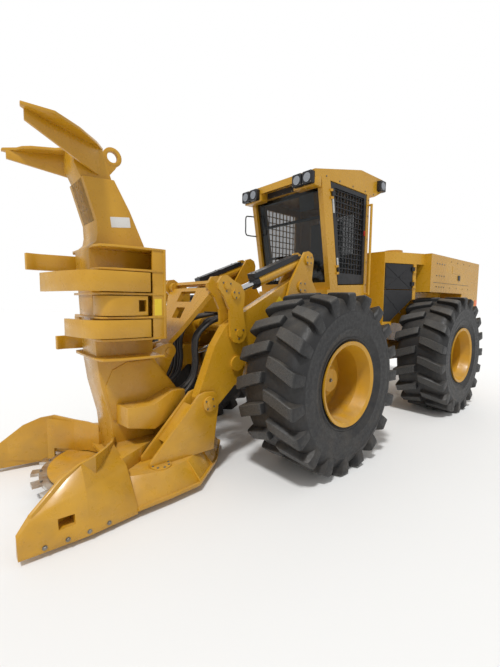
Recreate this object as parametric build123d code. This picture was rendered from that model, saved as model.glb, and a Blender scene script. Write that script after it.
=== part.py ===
# Wheeled feller buncher, drive-to-tree type: an articulated carrier with a disc saw head on lift arms.
# Millimetres. +X is forward, +Y is the machine's left, +Z is up, and the ground is z = 0.
# The origin is on the ground, at the middle of the overall length.
import os
from math import cos, hypot, radians, sqrt

from build123d import *

# Driving dimensions of the carrier
NOSE_REACH = 2730            # front axle to the tips of the head's horns
TAIL_REACH = 5060            # front axle to the back of the tail
WHEELBASE = 3112
TRACK = 2276
TYRE_OD = 1830
TYRE_WIDTH = 740
LUG_DEPTH = 62
LUG_COUNT = 19               # lugs in each of the tread's two rows
LUG_WIDTH = 74
LUG_LEAN = 60                # how far each end of a lug leans from its middle
RIM_BEAD_D = 812
RIM_FLANGE_D = 856
RIM_WIDTH = 620

FRONT_AXLE_X = (TAIL_REACH - NOSE_REACH) / 2
REAR_AXLE_X = FRONT_AXLE_X - WHEELBASE
PIVOT_X = (FRONT_AXLE_X + REAR_AXLE_X) / 2
LUG_TOP = sqrt((TYRE_OD / 2) ** 2 - (LUG_LEAN + LUG_WIDTH / 2) ** 2)
AXLE_HEIGHT = LUG_TOP
WHEEL_Y = TRACK / 2

# Running gaps
PIN_GAP = 0.05               # radial gap of a pin in its bore
SIDE_GAP = 8                 # gap on each side between a lug and its fork
SEAT_GAP = 0.3               # gap between a moving piece and the seat that carries it

# Frames
PLATE = 30
FRAME_HALF = 200
FRAME_TOP = 1400
FRAME_BOTTOM = 640
REAR_HALF = 300
AXLE_TUBE_R = 145
ARTIC_PIN_R = 50

# Loader pins, as distances ahead of the front axle and heights above the ground
ARM_PIVOT = (-210, 1900)
TILT_BASE = (-320, 2220)
LIFT_BASE = (-500, 1300)
LIFT_EYE = (740, 1080)
CRANK_PIN = (740, 1400)
ROD_PIN = (790, 1790)
LINK_TOP = (900, 1870)
HEAD_PIN = (1110, 730)
LINK_EYE = (HEAD_PIN[0] + LINK_TOP[0] - CRANK_PIN[0], HEAD_PIN[1] + LINK_TOP[1] - CRANK_PIN[1])
PIN_R = 38

# Loader planes, as half widths from the middle of the machine
ARM_IN = 475
ARM_OUT = 585
FORK_IN = 430                # inner face of the inner fork plates
FORK_OUT = 630               # outer face of the outer fork plates
LIFT_Y = 350                 # middle of a lift cylinder
TILT_Y = (ARM_IN + ARM_OUT) / 2

# Cab
CAB_HALF = 640
CAB_FLOOR_Z = 1880
CAB_WALL = 40
DOOR_TOP_Z = 3225
DOOR_BOTTOM_Z = 1960
ROOF_FRONT_Z = 3300
ROOF_PEAK_Z = 3520

# Enclosures on the rear frame
HOOD_TOP_Z = 2500
HOOD_FRONT = -2080
HOOD_STEP = -2790
HOOD_FRONT_HALF = 660
HOOD_MID_HALF = 950
HOOD_REAR_HALF = 1060
HOOD_SILL_Z = 1430
SHEET = 25

# Saw head
SAW_X = 1800
SAW_D = 1440
SAW_Z = 130
SAW_THICK = 28
DECK_Z = 260
SPINE_HALF = 200


def at(x):
    """Place along the machine, from a distance ahead of the front axle."""
    return FRONT_AXLE_X + x


def bar(x0, x1, y0, y1, z0, z1):
    """A plate or block between two corners."""
    return Pos((x0 + x1) / 2, (y0 + y1) / 2, (z0 + z1) / 2) * Box(abs(x1 - x0), abs(y1 - y0), abs(z1 - z0))


def side_plate(points, y0, y1):
    """A plate standing along the machine, its outline given as (distance ahead of the front axle, height)."""
    face = make_face(Polyline(*[(at(x), z, 0) for x, z in points], close=True))
    solid = extrude(face, amount=abs(y1 - y0), dir=(0, 0, 1))
    return Pos(0, max(y0, y1), 0) * Rot(90, 0, 0) * solid


def flat_plate(points, z0, z1):
    """A plate lying flat, its outline given as (distance ahead of the front axle, y)."""
    face = make_face(Polyline(*[(at(x), y, 0) for x, y in points], close=True))
    return Pos(0, 0, min(z0, z1)) * extrude(face, amount=abs(z1 - z0), dir=(0, 0, 1))


def cross_plate(points, x0, x1):
    """A plate standing across the machine, its outline given as (y, height)."""
    face = make_face(Polyline(*[(y, z, 0) for y, z in points], close=True))
    return Plane(origin=(at(min(x0, x1)), 0, 0), x_dir=(0, 1, 0), z_dir=(1, 0, 0)) * extrude(
        face, amount=abs(x1 - x0), dir=(0, 0, 1))


def disc_y(pin, y0, y1, radius):
    """A boss, pin or disc whose axis runs across the machine through a pin's place."""
    return Pos(at(pin[0]), (y0 + y1) / 2, pin[1]) * Rot(90, 0, 0) * Cylinder(radius, abs(y1 - y0))


def disc_z(x, y, z0, z1, radius):
    """A boss, pin or disc whose axis stands upright."""
    return Pos(at(x), y, (z0 + z1) / 2) * Cylinder(radius, abs(z1 - z0))


def tube_between(a, b, radius):
    """A round bar between two points (distance ahead of the front axle, y, z)."""
    start = Vector(at(a[0]), a[1], a[2])
    run = Vector(at(b[0]), b[1], b[2]) - start
    plane = Plane(origin=start, z_dir=run.normalized())
    return plane * Pos(0, 0, run.length / 2) * Cylinder(radius, run.length)


def mirrored(solid):
    """The same piece on the machine's other side."""
    return mirror(solid, about=Plane.XZ)


def join(pieces):
    """Pieces welded into one."""
    whole = pieces[0]
    for piece in pieces[1:]:
        whole = whole + piece
    return whole


KNUCKLE_R = 11
LEAF_SINK = 24               # how deep a hinge's leaf reaches in from the axis


def knuckle(origin, axis, out, start, length, reach):
    """A hinge knuckle on an axis with its leaf: out points away from the panel, reach is signed along the panel."""
    plane = Plane(origin=origin, x_dir=out, z_dir=axis)
    middle = start + length / 2
    near = 8 if reach > 0 else -8
    leaf = Pos((4 - LEAF_SINK) / 2, (reach + near) / 2, middle) * Box(LEAF_SINK + 4, abs(reach - near), length)
    return plane * (Pos(0, 0, middle) * Cylinder(KNUCKLE_R, length) + leaf)


def hinge(origin, axis, out, stations, reach):
    """Moving and fixed knuckles at each station, the fixed ones above and below the moving one."""
    moving = []
    fixed = []
    for start in stations:
        moving.append(knuckle(origin, axis, out, start, 60, reach))
        fixed.append(knuckle(origin, axis, out, start - 30 - SEAT_GAP, 30, -reach))
        fixed.append(knuckle(origin, axis, out, start + 60 + SEAT_GAP, 30, -reach))
    return moving, fixed


parts = {}


# Tyres: a casing turned about the axle, with two rows of slanted lugs moulded on it
def make_tyre():
    crown = TYRE_OD / 2 - LUG_DEPTH
    half = TYRE_WIDTH / 2
    bead = RIM_BEAD_D / 2
    outline = [(bead, -half + 70), (bead + 60, -half + 20), (crown - 230, -half + 6), (crown - 70, -half + 24),
               (crown, -half + 92), (crown, half - 92), (crown - 70, half - 24), (crown - 230, half - 6),
               (bead + 60, half - 20), (bead, half - 70)]
    casing = revolve(make_face(Polyline(*[(r, 0, y) for r, y in outline], close=True)), Axis.Z, 360)
    lugs = []
    w = LUG_WIDTH / 2
    for row in (1, -1):
        inner = 20 * row
        outer = (half - 4) * row
        points = [(LUG_LEAN - w, inner), (LUG_LEAN + w, inner), (w - LUG_LEAN, outer), (-w - LUG_LEAN, outer)]
        face = make_face(Polyline(*[(x, y, 0) for x, y in points], close=True))
        block = extrude(face, amount=LUG_DEPTH + 85, dir=(0, 0, 1))
        lug = Pos(LUG_TOP - LUG_DEPTH - 85, 0, 0) * (Plane(origin=(0, 0, 0), x_dir=(0, 1, 0), z_dir=(1, 0, 0)) * block)
        phase = 0 if row == 1 else 0.5
        for number in range(LUG_COUNT):
            lugs.append(Rot(0, 0, 360 / LUG_COUNT * (number + phase) - 90) * lug)
    return casing + lugs


# Rims: a pressed drum with its wheel disc and a bolt-on hub centre
def make_rim():
    half = RIM_WIDTH / 2
    bead = RIM_BEAD_D / 2 - SEAT_GAP
    flange = RIM_FLANGE_D / 2
    wall = 16
    drum = [(bead, -half), (flange, -half - 10), (flange, -half - 26), (bead - wall, -half - 12),
            (bead - wall - 40, -half + 80), (bead - wall - 40, half - 120), (bead - wall, half + 12),
            (flange, half + 26), (flange, half + 10), (bead, half), (bead, half - 40), (bead - 34, half - 110),
            (bead - 34, -half + 110), (bead, -half + 40)]
    shell = revolve(make_face(Polyline(*[(r, 0, z) for r, z in drum], close=True)), Axis.Z, 360)
    disc = Pos(0, 0, -60) * Cylinder(bead - wall - 20, 24)
    hub = Pos(0, 0, -30) * Cylinder(185, 120)
    cap = Pos(0, 0, 60) * Cylinder(120, 70)
    bore = Pos(0, 0, -120) * Cylinder(AXLE_TUBE_R - 50, 120)
    return shell + disc + hub + cap - bore


TYRE = make_tyre()
RIM = make_rim()
# Each wheel: name, place along the machine, side
WHEELS = [("front_left", FRONT_AXLE_X, 1), ("front_right", FRONT_AXLE_X, -1),
          ("rear_left", REAR_AXLE_X, 1), ("rear_right", REAR_AXLE_X, -1)]
for wheel_name, wheel_x, side in WHEELS:
    for piece_name, piece in (("tyre", TYRE), ("rim", RIM)):
        placed = Pos(wheel_x, WHEEL_Y, AXLE_HEIGHT) * Rot(-90, 0, 0) * piece
        if side < 0:
            placed = mirrored(placed)
        parts[piece_name + "_" + wheel_name] = placed


# Axles: a housing with a differential, and a planetary end that reaches into each rim
CENTRE_R = 235
CENTRE_HALF = FRAME_HALF - PLATE - SEAT_GAP


def axle_room(x):
    """The room that an axle takes in the frame that it is bolted into."""
    room = disc_y((x, AXLE_HEIGHT), -REAR_HALF - 50, REAR_HALF + 50, AXLE_TUBE_R + SEAT_GAP)
    ball = Pos(at(x), 0, AXLE_HEIGHT) * Sphere(CENTRE_R + SEAT_GAP)
    return room + (ball & bar(at(x) - 250, at(x) + 250, -CENTRE_HALF - SEAT_GAP, CENTRE_HALF + SEAT_GAP, 600, 1200))


def make_axle(x):
    end = WHEEL_Y - 60 - 60 - SEAT_GAP
    housing = disc_y((x, AXLE_HEIGHT), -end + 120, end - 120, AXLE_TUBE_R)
    centre = Pos(at(x), 0, AXLE_HEIGHT) * Sphere(CENTRE_R)
    centre = centre & bar(at(x) - 240, at(x) + 240, -CENTRE_HALF, CENTRE_HALF, AXLE_HEIGHT - 240, AXLE_HEIGHT + 240)
    ends = [disc_y((x, AXLE_HEIGHT), s * (end - 330), s * end, AXLE_TUBE_R - 50 - SEAT_GAP) for s in (1, -1)]
    drums = [disc_y((x, AXLE_HEIGHT), s * (end - 300), s * (end - 60), 175) for s in (1, -1)]
    return join([housing, centre] + ends + drums)


parts["front_axle"] = make_axle(0)
parts["rear_axle"] = make_axle(-WHEELBASE)

# Front frame: a box on the axle, loader towers in front of the cab, and the forks of the centre hinge
ARTIC = PIVOT_X - FRONT_AXLE_X
UPPER_FORK = [(1140, 1200), (1300, 1360)]
LOWER_FORK = [(640, 700), (800, 860)]
EAR_GAP = 10
frame_pieces = []
for s in (1, -1):
    frame_pieces.append(side_plate(
        [(-1000, FRAME_BOTTOM), (200, FRAME_BOTTOM), (260, 760), (260, 1150), (60, FRAME_TOP), (-1000, FRAME_TOP)],
        s * FRAME_HALF, s * (FRAME_HALF - PLATE)))
for z0, z1 in UPPER_FORK + LOWER_FORK:
    frame_pieces.append(flat_plate(
        [(-980, -FRAME_HALF), (-980, FRAME_HALF), (ARTIC + 60, 120), (ARTIC - 60, 90), (ARTIC - 60, -90),
         (ARTIC + 60, -120)], z0, z1) + disc_z(ARTIC, 0, z0, z1, 110))
frame_pieces.append(bar(at(-1000), at(200), -FRAME_HALF, FRAME_HALF, FRAME_BOTTOM, FRAME_BOTTOM + PLATE))
frame_pieces.append(bar(at(-1000), at(60), -FRAME_HALF, FRAME_HALF, FRAME_TOP - PLATE, FRAME_TOP))
frame_pieces.append(bar(at(-1000), at(-960), -FRAME_HALF, FRAME_HALF, FRAME_BOTTOM, FRAME_TOP))
frame_pieces.append(bar(at(230), at(260), -FRAME_HALF, FRAME_HALF, 760, 1150))
frame_pieces.append(bar(at(-180), at(180), -FRAME_HALF, FRAME_HALF, AXLE_HEIGHT + 150, AXLE_HEIGHT + 260))
TOWER = [(-760, 1120), (-420, 1120), (-40, 1420), (60, 1700), (-30, 1960), (-215, 2240), (-260, 2310),
         (-330, 2328), (-400, 2300), (-428, 2230), (-400, 1990), (-600, 1700), (-760, 1700)]
for s in (1, -1):
    for inner, outer in ((FORK_IN, FORK_IN + PLATE), (FORK_OUT - PLATE, FORK_OUT)):
        frame_pieces.append(side_plate(TOWER, s * inner, s * outer))
    frame_pieces.append(disc_y(ARM_PIVOT, s * FORK_IN, s * (FORK_OUT + 12), PIN_R))
    frame_pieces.append(disc_y(TILT_BASE, s * FORK_IN, s * (FORK_OUT + 12), PIN_R))
    frame_pieces.append(disc_y(ARM_PIVOT, s * FORK_OUT, s * (FORK_OUT + 20), 70))
    frame_pieces.append(disc_y(TILT_BASE, s * FORK_OUT, s * (FORK_OUT + 20), 62))
    frame_pieces.append(disc_y(LIFT_BASE, s * (LIFT_Y - 100), s * FORK_IN, PIN_R))
    frame_pieces.append(side_plate([(-640, 1180), (-460, 1180), (-410, 1300), (-460, 1400), (-640, 1400)],
                                   s * (LIFT_Y - 100), s * (LIFT_Y - 75)))
frame_pieces.append(bar(at(-760), at(-640), -FORK_OUT, FORK_OUT, 1120, 1700))
frame_pieces.append(bar(at(-640), at(-560), -FORK_OUT, FORK_OUT, 1620, 1700))
frame = join(frame_pieces)
for z0, z1 in ((1100, 1400), (600, 900)):
    frame = frame - disc_z(ARTIC, 0, z0, z1, ARTIC_PIN_R + PIN_GAP)
frame = frame - axle_room(0)
parts["front_frame"] = frame

# Rear frame: two side plates with a floor, and the ears of the centre hinge with their pins
rear_pieces = []
for s in (1, -1):
    rear_pieces.append(side_plate(
        [(-2000, 700), (-4900, 700), (-4980, 900), (-4980, 1380), (-2000, 1380)],
        s * REAR_HALF, s * (REAR_HALF - PLATE)))
for (low, high) in (UPPER_FORK, LOWER_FORK):
    z0 = low[1] + EAR_GAP
    z1 = high[0] - EAR_GAP
    rear_pieces.append(flat_plate(
        [(ARTIC + 60, -90), (ARTIC + 60, 90), (ARTIC - 120, 140), (-2000, REAR_HALF), (-2030, REAR_HALF),
         (-2030, -REAR_HALF), (-2000, -REAR_HALF), (ARTIC - 120, -140)], z0, z1)
        + disc_z(ARTIC, 0, z0, z1, 105))
    rear_pieces.append(disc_z(ARTIC, 0, low[0] - 25, high[1] + 25, ARTIC_PIN_R))
rear_pieces.append(bar(at(-2030), at(-2000), -REAR_HALF, REAR_HALF, 700, 1380))
rear_pieces.append(bar(at(-4900), at(-2000), -REAR_HALF, REAR_HALF, 700, 700 + PLATE))
rear_pieces.append(bar(at(-4980), at(-4940), -REAR_HALF, REAR_HALF, 900, 1380))
rear_pieces.append(bar(at(-WHEELBASE - 200), at(-WHEELBASE + 200), -REAR_HALF, REAR_HALF, AXLE_HEIGHT + 140, 1380))
STEER_Z = 1000
STEER_LUG = (-1800, 360)
STEER_BASE = (-750, 320)
for s in (1, -1):
    for z0 in (STEER_Z - 78, STEER_Z + 58):
        rear_pieces.append(flat_plate(
            [(-2010, s * 200), (-2010, s * REAR_HALF), (STEER_LUG[0] - 40, s * (STEER_LUG[1] + 60)),
             (STEER_LUG[0] + 50, s * (STEER_LUG[1] + 40)), (STEER_LUG[0] + 50, s * (STEER_LUG[1] - 50)),
             (STEER_LUG[0] - 60, s * (STEER_LUG[1] - 80))], z0, z0 + 20))
rear = join(rear_pieces) - axle_room(-WHEELBASE)
parts["rear_frame"] = rear

steer_bracket = []
for s in (1, -1):
    for z0 in (STEER_Z - 78, STEER_Z + 58):
        steer_bracket.append(flat_plate(
            [(STEER_BASE[0] + 90, s * (FRAME_HALF - 5)), (STEER_BASE[0] + 40, s * (STEER_BASE[1] + 50)),
             (STEER_BASE[0] - 50, s * (STEER_BASE[1] + 50)), (STEER_BASE[0] - 60, s * (FRAME_HALF - 5))],
            z0, z0 + 20))
    steer_bracket.append(disc_z(STEER_BASE[0], s * STEER_BASE[1], STEER_Z - 90, STEER_Z + 90, 30))
parts["front_frame"] = join([parts["front_frame"]] + steer_bracket)


# Cylinders: a barrel with its base eye and gland, and a rod with its own eye
def cylinder_pair(base, eye, y, barrel_r, rod_r, barrel_end, pin_r, eye_w, eye_r):
    """Barrel and rod of a cylinder whose pins run across the machine."""
    run = hypot(eye[0] - base[0], eye[1] - base[1])
    ux = (eye[0] - base[0]) / run
    uz = (eye[1] - base[1]) / run

    def along(d):
        return (base[0] + ux * d, y, base[1] + uz * d)

    barrel = tube_between(along(eye_r - 15), along(barrel_end - 60), barrel_r)
    barrel = barrel + tube_between(along(barrel_end - 60), along(barrel_end), barrel_r + 5)
    barrel = barrel + disc_y(base, y - eye_w / 2, y + eye_w / 2, eye_r)
    barrel = barrel - disc_y(base, y - eye_w, y + eye_w, pin_r + PIN_GAP)
    bore_end = barrel_end + 1
    barrel = barrel - tube_between(along(eye_r + 60), along(bore_end), rod_r + SEAT_GAP)
    rod = tube_between(along(eye_r + 230), along(run - eye_r + 15), rod_r)
    rod = rod + disc_y(eye, y - eye_w / 2, y + eye_w / 2, eye_r)
    return barrel, rod


tilt_barrel, tilt_rod = cylinder_pair(TILT_BASE, ROD_PIN, TILT_Y, 60, 36, 850, PIN_R, 124, 60)
lift_barrel, lift_rod = cylinder_pair(LIFT_BASE, LIFT_EYE, LIFT_Y, 68, 40, 900, PIN_R, 110, 64)
tilt_run = hypot(ROD_PIN[0] - TILT_BASE[0], ROD_PIN[1] - TILT_BASE[1])
tilt_dir = ((ROD_PIN[0] - TILT_BASE[0]) / tilt_run, (ROD_PIN[1] - TILT_BASE[1]) / tilt_run)


def tilt_along(d, up):
    return (TILT_BASE[0] + tilt_dir[0] * d - tilt_dir[1] * up, TILT_BASE[1] + tilt_dir[1] * d + tilt_dir[0] * up)


cover = side_plate([tilt_along(90, 50), tilt_along(845, 50), tilt_along(845, 106), tilt_along(110, 106)],
                   TILT_Y - 58, TILT_Y + 58)
parts["tilt_barrels"] = Compound(children=[tilt_barrel + cover, mirrored(tilt_barrel + cover)])
parts["tilt_rods"] = Compound(children=[tilt_rod, mirrored(tilt_rod)])
parts["lift_barrels"] = Compound(children=[lift_barrel, mirrored(lift_barrel)])
parts["lift_rods"] = Compound(children=[lift_rod, mirrored(lift_rod)])


def steer_pair(s):
    base = (STEER_BASE[0], s * STEER_BASE[1])
    lug = (STEER_LUG[0], s * STEER_LUG[1])
    run = hypot(lug[0] - base[0], lug[1] - base[1])
    ux = (lug[0] - base[0]) / run
    uy = (lug[1] - base[1]) / run

    def along(d):
        return (base[0] + ux * d, base[1] + uy * d, STEER_Z)

    barrel = tube_between(along(35), along(650), 52) + disc_z(base[0], base[1], STEER_Z - 50, STEER_Z + 50, 50)
    barrel = barrel - disc_z(base[0], base[1], STEER_Z - 60, STEER_Z + 60, 30 + PIN_GAP)
    barrel = barrel - tube_between(along(100), along(660), 28 + SEAT_GAP)
    rod = tube_between(along(360), along(run - 35), 28) + disc_z(lug[0], lug[1], STEER_Z - 50, STEER_Z + 50, 50)
    return barrel, rod


for s, word in ((1, "left"), (-1, "right")):
    parts["steer_barrel_" + word], parts["steer_rod_" + word] = steer_pair(s)

# Lift arms: two deep elbow plates joined by a cross tube
ARM = [(-160, 2012), (660, 1600), (880, 1470), (1012, 1280), (1215, 790), (1205, 690), (1140, 630), (1060, 640),
       (960, 690), (660, 940), (600, 1100), (460, 1250), (-265, 1790), (-310, 1840), (-325, 1900), (-300, 1970),
       (-250, 2008)]
arm_pieces = []
for s in (1, -1):
    arm_pieces.append(side_plate(ARM, s * ARM_IN, s * ARM_OUT))
    for pin in (ARM_PIVOT, HEAD_PIN):
        arm_pieces.append(disc_y(pin, s * (FORK_IN + PLATE + SIDE_GAP), s * (FORK_OUT - PLATE - SIDE_GAP), 92))
    for y0, y1 in ((LIFT_Y - 90, LIFT_Y - 62), (LIFT_Y + 62, ARM_IN + 10)):
        arm_pieces.append(side_plate([(660, 960), (860, 960), (900, 1080), (860, 1200), (660, 1200)], s * y0, s * y1))
    arm_pieces.append(bar(at(862), at(895), s * (LIFT_Y - 90), s * (ARM_IN + 10), 1010, 1150))
arm_pieces.append(tube_between((500, -ARM_IN - 5, 1440), (500, ARM_IN + 5, 1440), 85))
arms = join(arm_pieces)
for s in (1, -1):
    for pin in (ARM_PIVOT, HEAD_PIN):
        arms = arms - disc_y(pin, s * (FORK_IN - 50), s * (FORK_OUT + 50), PIN_R + PIN_GAP)
    arms = arms + disc_y(CRANK_PIN, s * (FORK_IN - 10), s * (FORK_OUT + 10), PIN_R)
    arms = arms + disc_y(LIFT_EYE, s * ARM_OUT, s * (ARM_OUT + 24), 78)
parts["lift_arms"] = arms

# Bell cranks: a pair of plates either side of each arm, with the top pin for the tilt link
CRANK = [(640, 1370), (680, 1310), (740, 1290), (810, 1310), (850, 1370), (866, 1640), (935, 1770), (1000, 1840),
         (1005, 1900), (960, 1965), (890, 1975), (820, 1930), (720, 1890), (668, 1810), (672, 1730), (690, 1640)]
CRANK_SPACER = (760, 1655)
crank_pieces = []
for s in (1, -1):
    for y0, y1 in ((FORK_IN, FORK_IN + PLATE), (FORK_OUT - PLATE, FORK_OUT)):
        plates = side_plate(CRANK, s * y0, s * y1)
        plates = plates - disc_y(CRANK_PIN, s * (y0 - 20), s * (y1 + 20), PIN_R + PIN_GAP)
        crank_pieces.append(plates)
    crank_pieces.append(disc_y(LINK_TOP, s * (FORK_IN - 90), s * (FORK_IN + PLATE), PIN_R - 4))
    crank_pieces.append(disc_y(LINK_TOP, s * FORK_OUT, s * (FORK_OUT + 14), PIN_R - 4))
    crank_pieces.append(disc_y(CRANK_SPACER, s * FORK_IN, s * FORK_OUT, 24))
    crank_pieces.append(disc_y(ROD_PIN, s * FORK_OUT, s * (FORK_OUT + 16), 50))
left_crank = join(crank_pieces[:6])
right_crank = join(crank_pieces[6:])
parts["bell_cranks"] = Compound(children=[left_crank, right_crank])

# Tilt link: a three-cornered plate frame from both bell cranks down to one eye on the head
LINK_HALF = FORK_IN - SIDE_GAP
LINK_EYE_HALF = 90
link_run = (LINK_EYE[0] - LINK_TOP[0], LINK_EYE[1] - LINK_TOP[1])
link_len = hypot(*link_run)
link_plane = Plane(origin=(at(LINK_TOP[0]), 0, LINK_TOP[1]), x_dir=(0, 1, 0),
                   z_dir=(link_run[1] / link_len, 0, -link_run[0] / link_len))
link_out = [(-LINK_HALF, -60), (LINK_HALF, -60), (LINK_HALF, 110), (170, link_len - 210),
            (LINK_EYE_HALF, link_len - 110), (LINK_EYE_HALF, link_len + 20), (-LINK_EYE_HALF, link_len + 20),
            (-LINK_EYE_HALF, link_len - 110), (-170, link_len - 210), (-LINK_HALF, 110)]
link_face = make_face(Polyline(*[(y, d, 0) for y, d in link_out], close=True))
link_plate = link_plane * extrude(link_face, amount=25, dir=(0, 0, 1), both=True)
link_pieces = [link_plate, disc_y(LINK_EYE, -LINK_EYE_HALF, LINK_EYE_HALF, 72)]
for s in (1, -1):
    link_pieces.append(disc_y(LINK_TOP, s * (LINK_HALF - 70), s * LINK_HALF, 66))
link = join(link_pieces)
for y, d, w in ((0, 130, 150), (0, 330, 90)):
    window = link_plane * Pos(y, d, 0) * Box(w * 2, 130, 120)
    link = link - window
link = link - disc_y(LINK_TOP, -FORK_OUT, FORK_OUT, PIN_R - 4 + PIN_GAP)
link = link - disc_y(LINK_EYE, -200, 200, PIN_R + PIN_GAP)
parts["tilt_link"] = link

# Head spine: a box post that leans forward at its top, with shelves for the gathering arms
SPINE = [(1480, DECK_Z + 20), (1860, DECK_Z + 20), (1930, 620), (2010, 1000), (2040, 1200), (2060, 2170), (1995, 2380),
         (2170, 2790), (2190, 2900), (1975, 2900), (1660, 2220), (1480, 2180), (1480, 1200), (1360, 800)]
spine = side_plate(SPINE, -SPINE_HALF, SPINE_HALF)
SHELF_Z = [(2160, 2180), (1970, 1990), (1765, 1785), (1560, 1580), (1370, 1390), (1200, 1220)]
ARM_PIN_Y = 330
ARM_PIN_X = 1850
shelf_outline = [(1480, -450), (1700, -450), (1960, -400), (1960, -180), (1700, -180), (1700, 180), (1960, 180),
                 (1960, 400), (1700, 450), (1480, 450)]
spine_pieces = [spine]
for z0, z1 in SHELF_Z:
    spine_pieces.append(flat_plate(shelf_outline, z0, z1))
spine_pieces.append(bar(at(1460), at(1485), -450, 450, 1370, 2180))
for s in (1, -1):
    spine_pieces.append(side_plate([(1480, 1560), (1800, 1560), (1800, 1785), (1480, 1785)], s * 420, s * 400))
for s in (1, -1):
    spine_pieces.append(side_plate([(1230, 1120), (1215, 1240), (1290, 1285), (1500, 1260), (1500, 1000)],
                                   s * (LINK_EYE_HALF + SIDE_GAP), s * (LINK_EYE_HALF + SIDE_GAP + PLATE)))
spine_pieces.append(disc_y(LINK_EYE, -140, 140, PIN_R))
spine = join(spine_pieces)
parts["head_spine"] = spine

# Head deck: the saw housing, a flat box with sloped side walls round the disc
deck_outline = [(2050, 850), (1400, 850), (980, 530), (590, 110), (590, -110), (980, -530), (1400, -850), (2050, -850)]
deck_top = flat_plate(deck_outline, DECK_Z - 20, DECK_Z)
deck_wall = flat_plate(deck_outline, 40, DECK_Z)
deck_hole = flat_plate([(2060, 810), (1415, 810), (1000, 500), (640, 100), (640, -100), (1000, -500), (1415, -810),
                        (2060, -810)], 30, DECK_Z - 20)
deck_bottom = flat_plate([(1750, 850), (1400, 850), (980, 530), (590, 110), (590, -110), (980, -530), (1400, -850),
                          (1750, -850), (1500, 0)], 0, 40)
deck = deck_wall - deck_hole + deck_bottom
mouth = Pos(at(SAW_X), 0, DECK_Z - 10) * Cylinder(SAW_D / 2 - 60, 60) & bar(at(SAW_X + 200), at(3000), -900, 900, 0, 600)
deck = deck - mouth
for s in (1, -1):
    deck = deck - bar(at(1700), at(2100), s * 780, s * 860, -10, DECK_Z + 10)
fin_pieces = []
FIN = [(1720, DECK_Z - 5), (1720, 450), (1210, 835), (1150, 850), (1050, 840), (1000, 790), (1000, 690), (1040, 420),
       (1060, DECK_Z - 5)]
for s in (1, -1):
    for y0, y1 in ((FORK_IN, FORK_IN + PLATE), (FORK_OUT - PLATE, FORK_OUT)):
        fin_pieces.append(side_plate(FIN, s * y0, s * y1))
    fin_pieces.append(disc_y(HEAD_PIN, s * FORK_IN, s * (FORK_OUT + 14), PIN_R))
    fin_pieces.append(disc_y(HEAD_PIN, s * FORK_OUT, s * (FORK_OUT + 18), 70))
deck = join([deck] + fin_pieces)
parts["head_deck"] = deck

# Horns: the two gathering points beside the saw
HORN = [(1700, 40), (2450, 40), (NOSE_REACH, 60), (NOSE_REACH, 130), (2630, 290), (2340, 480), (2080, 500),
        (1700, 500)]
horn = side_plate(HORN, 780, 850)
horn = horn + flat_plate([(1700, 780), (2500, 780), (NOSE_REACH - 20, 800), (NOSE_REACH - 20, 850), (1700, 850)], 0, 40)
parts["horn_left"] = horn
parts["horn_right"] = mirrored(horn)

# Crown: two horns in a V on top of the spine, with a lifting eye behind
crown_plate = flat_plate([(1790, -120), (2180, -200), (2600, -420), (2610, -360), (2250, -60), (2250, 60), (2610, 360),
                          (2600, 420), (2180, 200), (1790, 120)], 2900, 2960)
LIFT_EYE_PIN = (1760, 3030)
eye = side_plate([(1690, 2880), (1680, 3040), (1710, 3100), (1760, 3120), (1810, 3100), (1850, 3030), (1900, 2950)],
                 -20, 20)
eye = eye - disc_y(LIFT_EYE_PIN, -60, 60, 48)
parts["head_crown"] = crown_plate + eye

# Saw: a disc with hooked teeth round its rim
saw = Pos(at(SAW_X), 0, SAW_Z) * Cylinder(SAW_D / 2 - 70, SAW_THICK)
TEETH = 18
for number in range(TEETH):
    tooth = Pos(SAW_D / 2 - 45, 0, 0) * Box(86, 90, SAW_THICK)
    saw = saw + Pos(at(SAW_X), 0, SAW_Z) * Rot(0, 0, 360 / TEETH * number) * tooth
saw = saw & (Pos(at(SAW_X), 0, SAW_Z) * Cylinder(SAW_D / 2, 100))
parts["saw_disc"] = saw

# Butt plate: the fixed plate over the disc that the cut stems stand on, with the spindle's housing
BUTT_Z = SAW_Z + SAW_THICK / 2 + 8
SPINDLE_R = 60
butt = Pos(at(SAW_X), 0, BUTT_Z + 8) * Cylinder(SAW_D / 2 - 135, 16)
butt = butt + disc_z(SAW_X, 0, BUTT_Z + 16, DECK_Z - 20, 150)
butt = butt - disc_z(SAW_X, 0, BUTT_Z - 5, DECK_Z - 20, SPINDLE_R + PIN_GAP)
parts["butt_plate"] = butt
parts["saw_disc"] = parts["saw_disc"] + disc_z(SAW_X, 0, SAW_Z, DECK_Z - 30, SPINDLE_R)

# Drive guard: the bent box over the saw's drive, behind the spine's foot
guard = side_plate([(1200, DECK_Z), (1870, DECK_Z), (1870, 560), (1700, 760), (1430, 840), (1200, 700)], 215, 400)
guard = guard + mirrored(guard)
motor_box = bar(at(1150), at(1480), -214, 214, DECK_Z, 640)
parts["drive_guard"] = Compound(children=[guard.solids()[0], guard.solids()[1]])
parts["head_spine"] = parts["head_spine"] + motor_box

# Gathering arms: bent bands on two upright pins, each band in its own space between the shelves
ARM_PIN = (1760, 360)
ARM_TUBE_R = 52
ARM_PIN_R = 26
BAND = 40


def band(outer, z0, z1, s):
    """A bent band of even thickness, its outer face given as (distance ahead of the front axle, y)."""
    line = Polyline(*[(at(x), s * y, 0) for x, y in outer])
    face = make_face(offset_2d_band(line, s))
    return Pos(0, 0, z0) * extrude(face, amount=z1 - z0, dir=(0, 0, 1))


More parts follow.
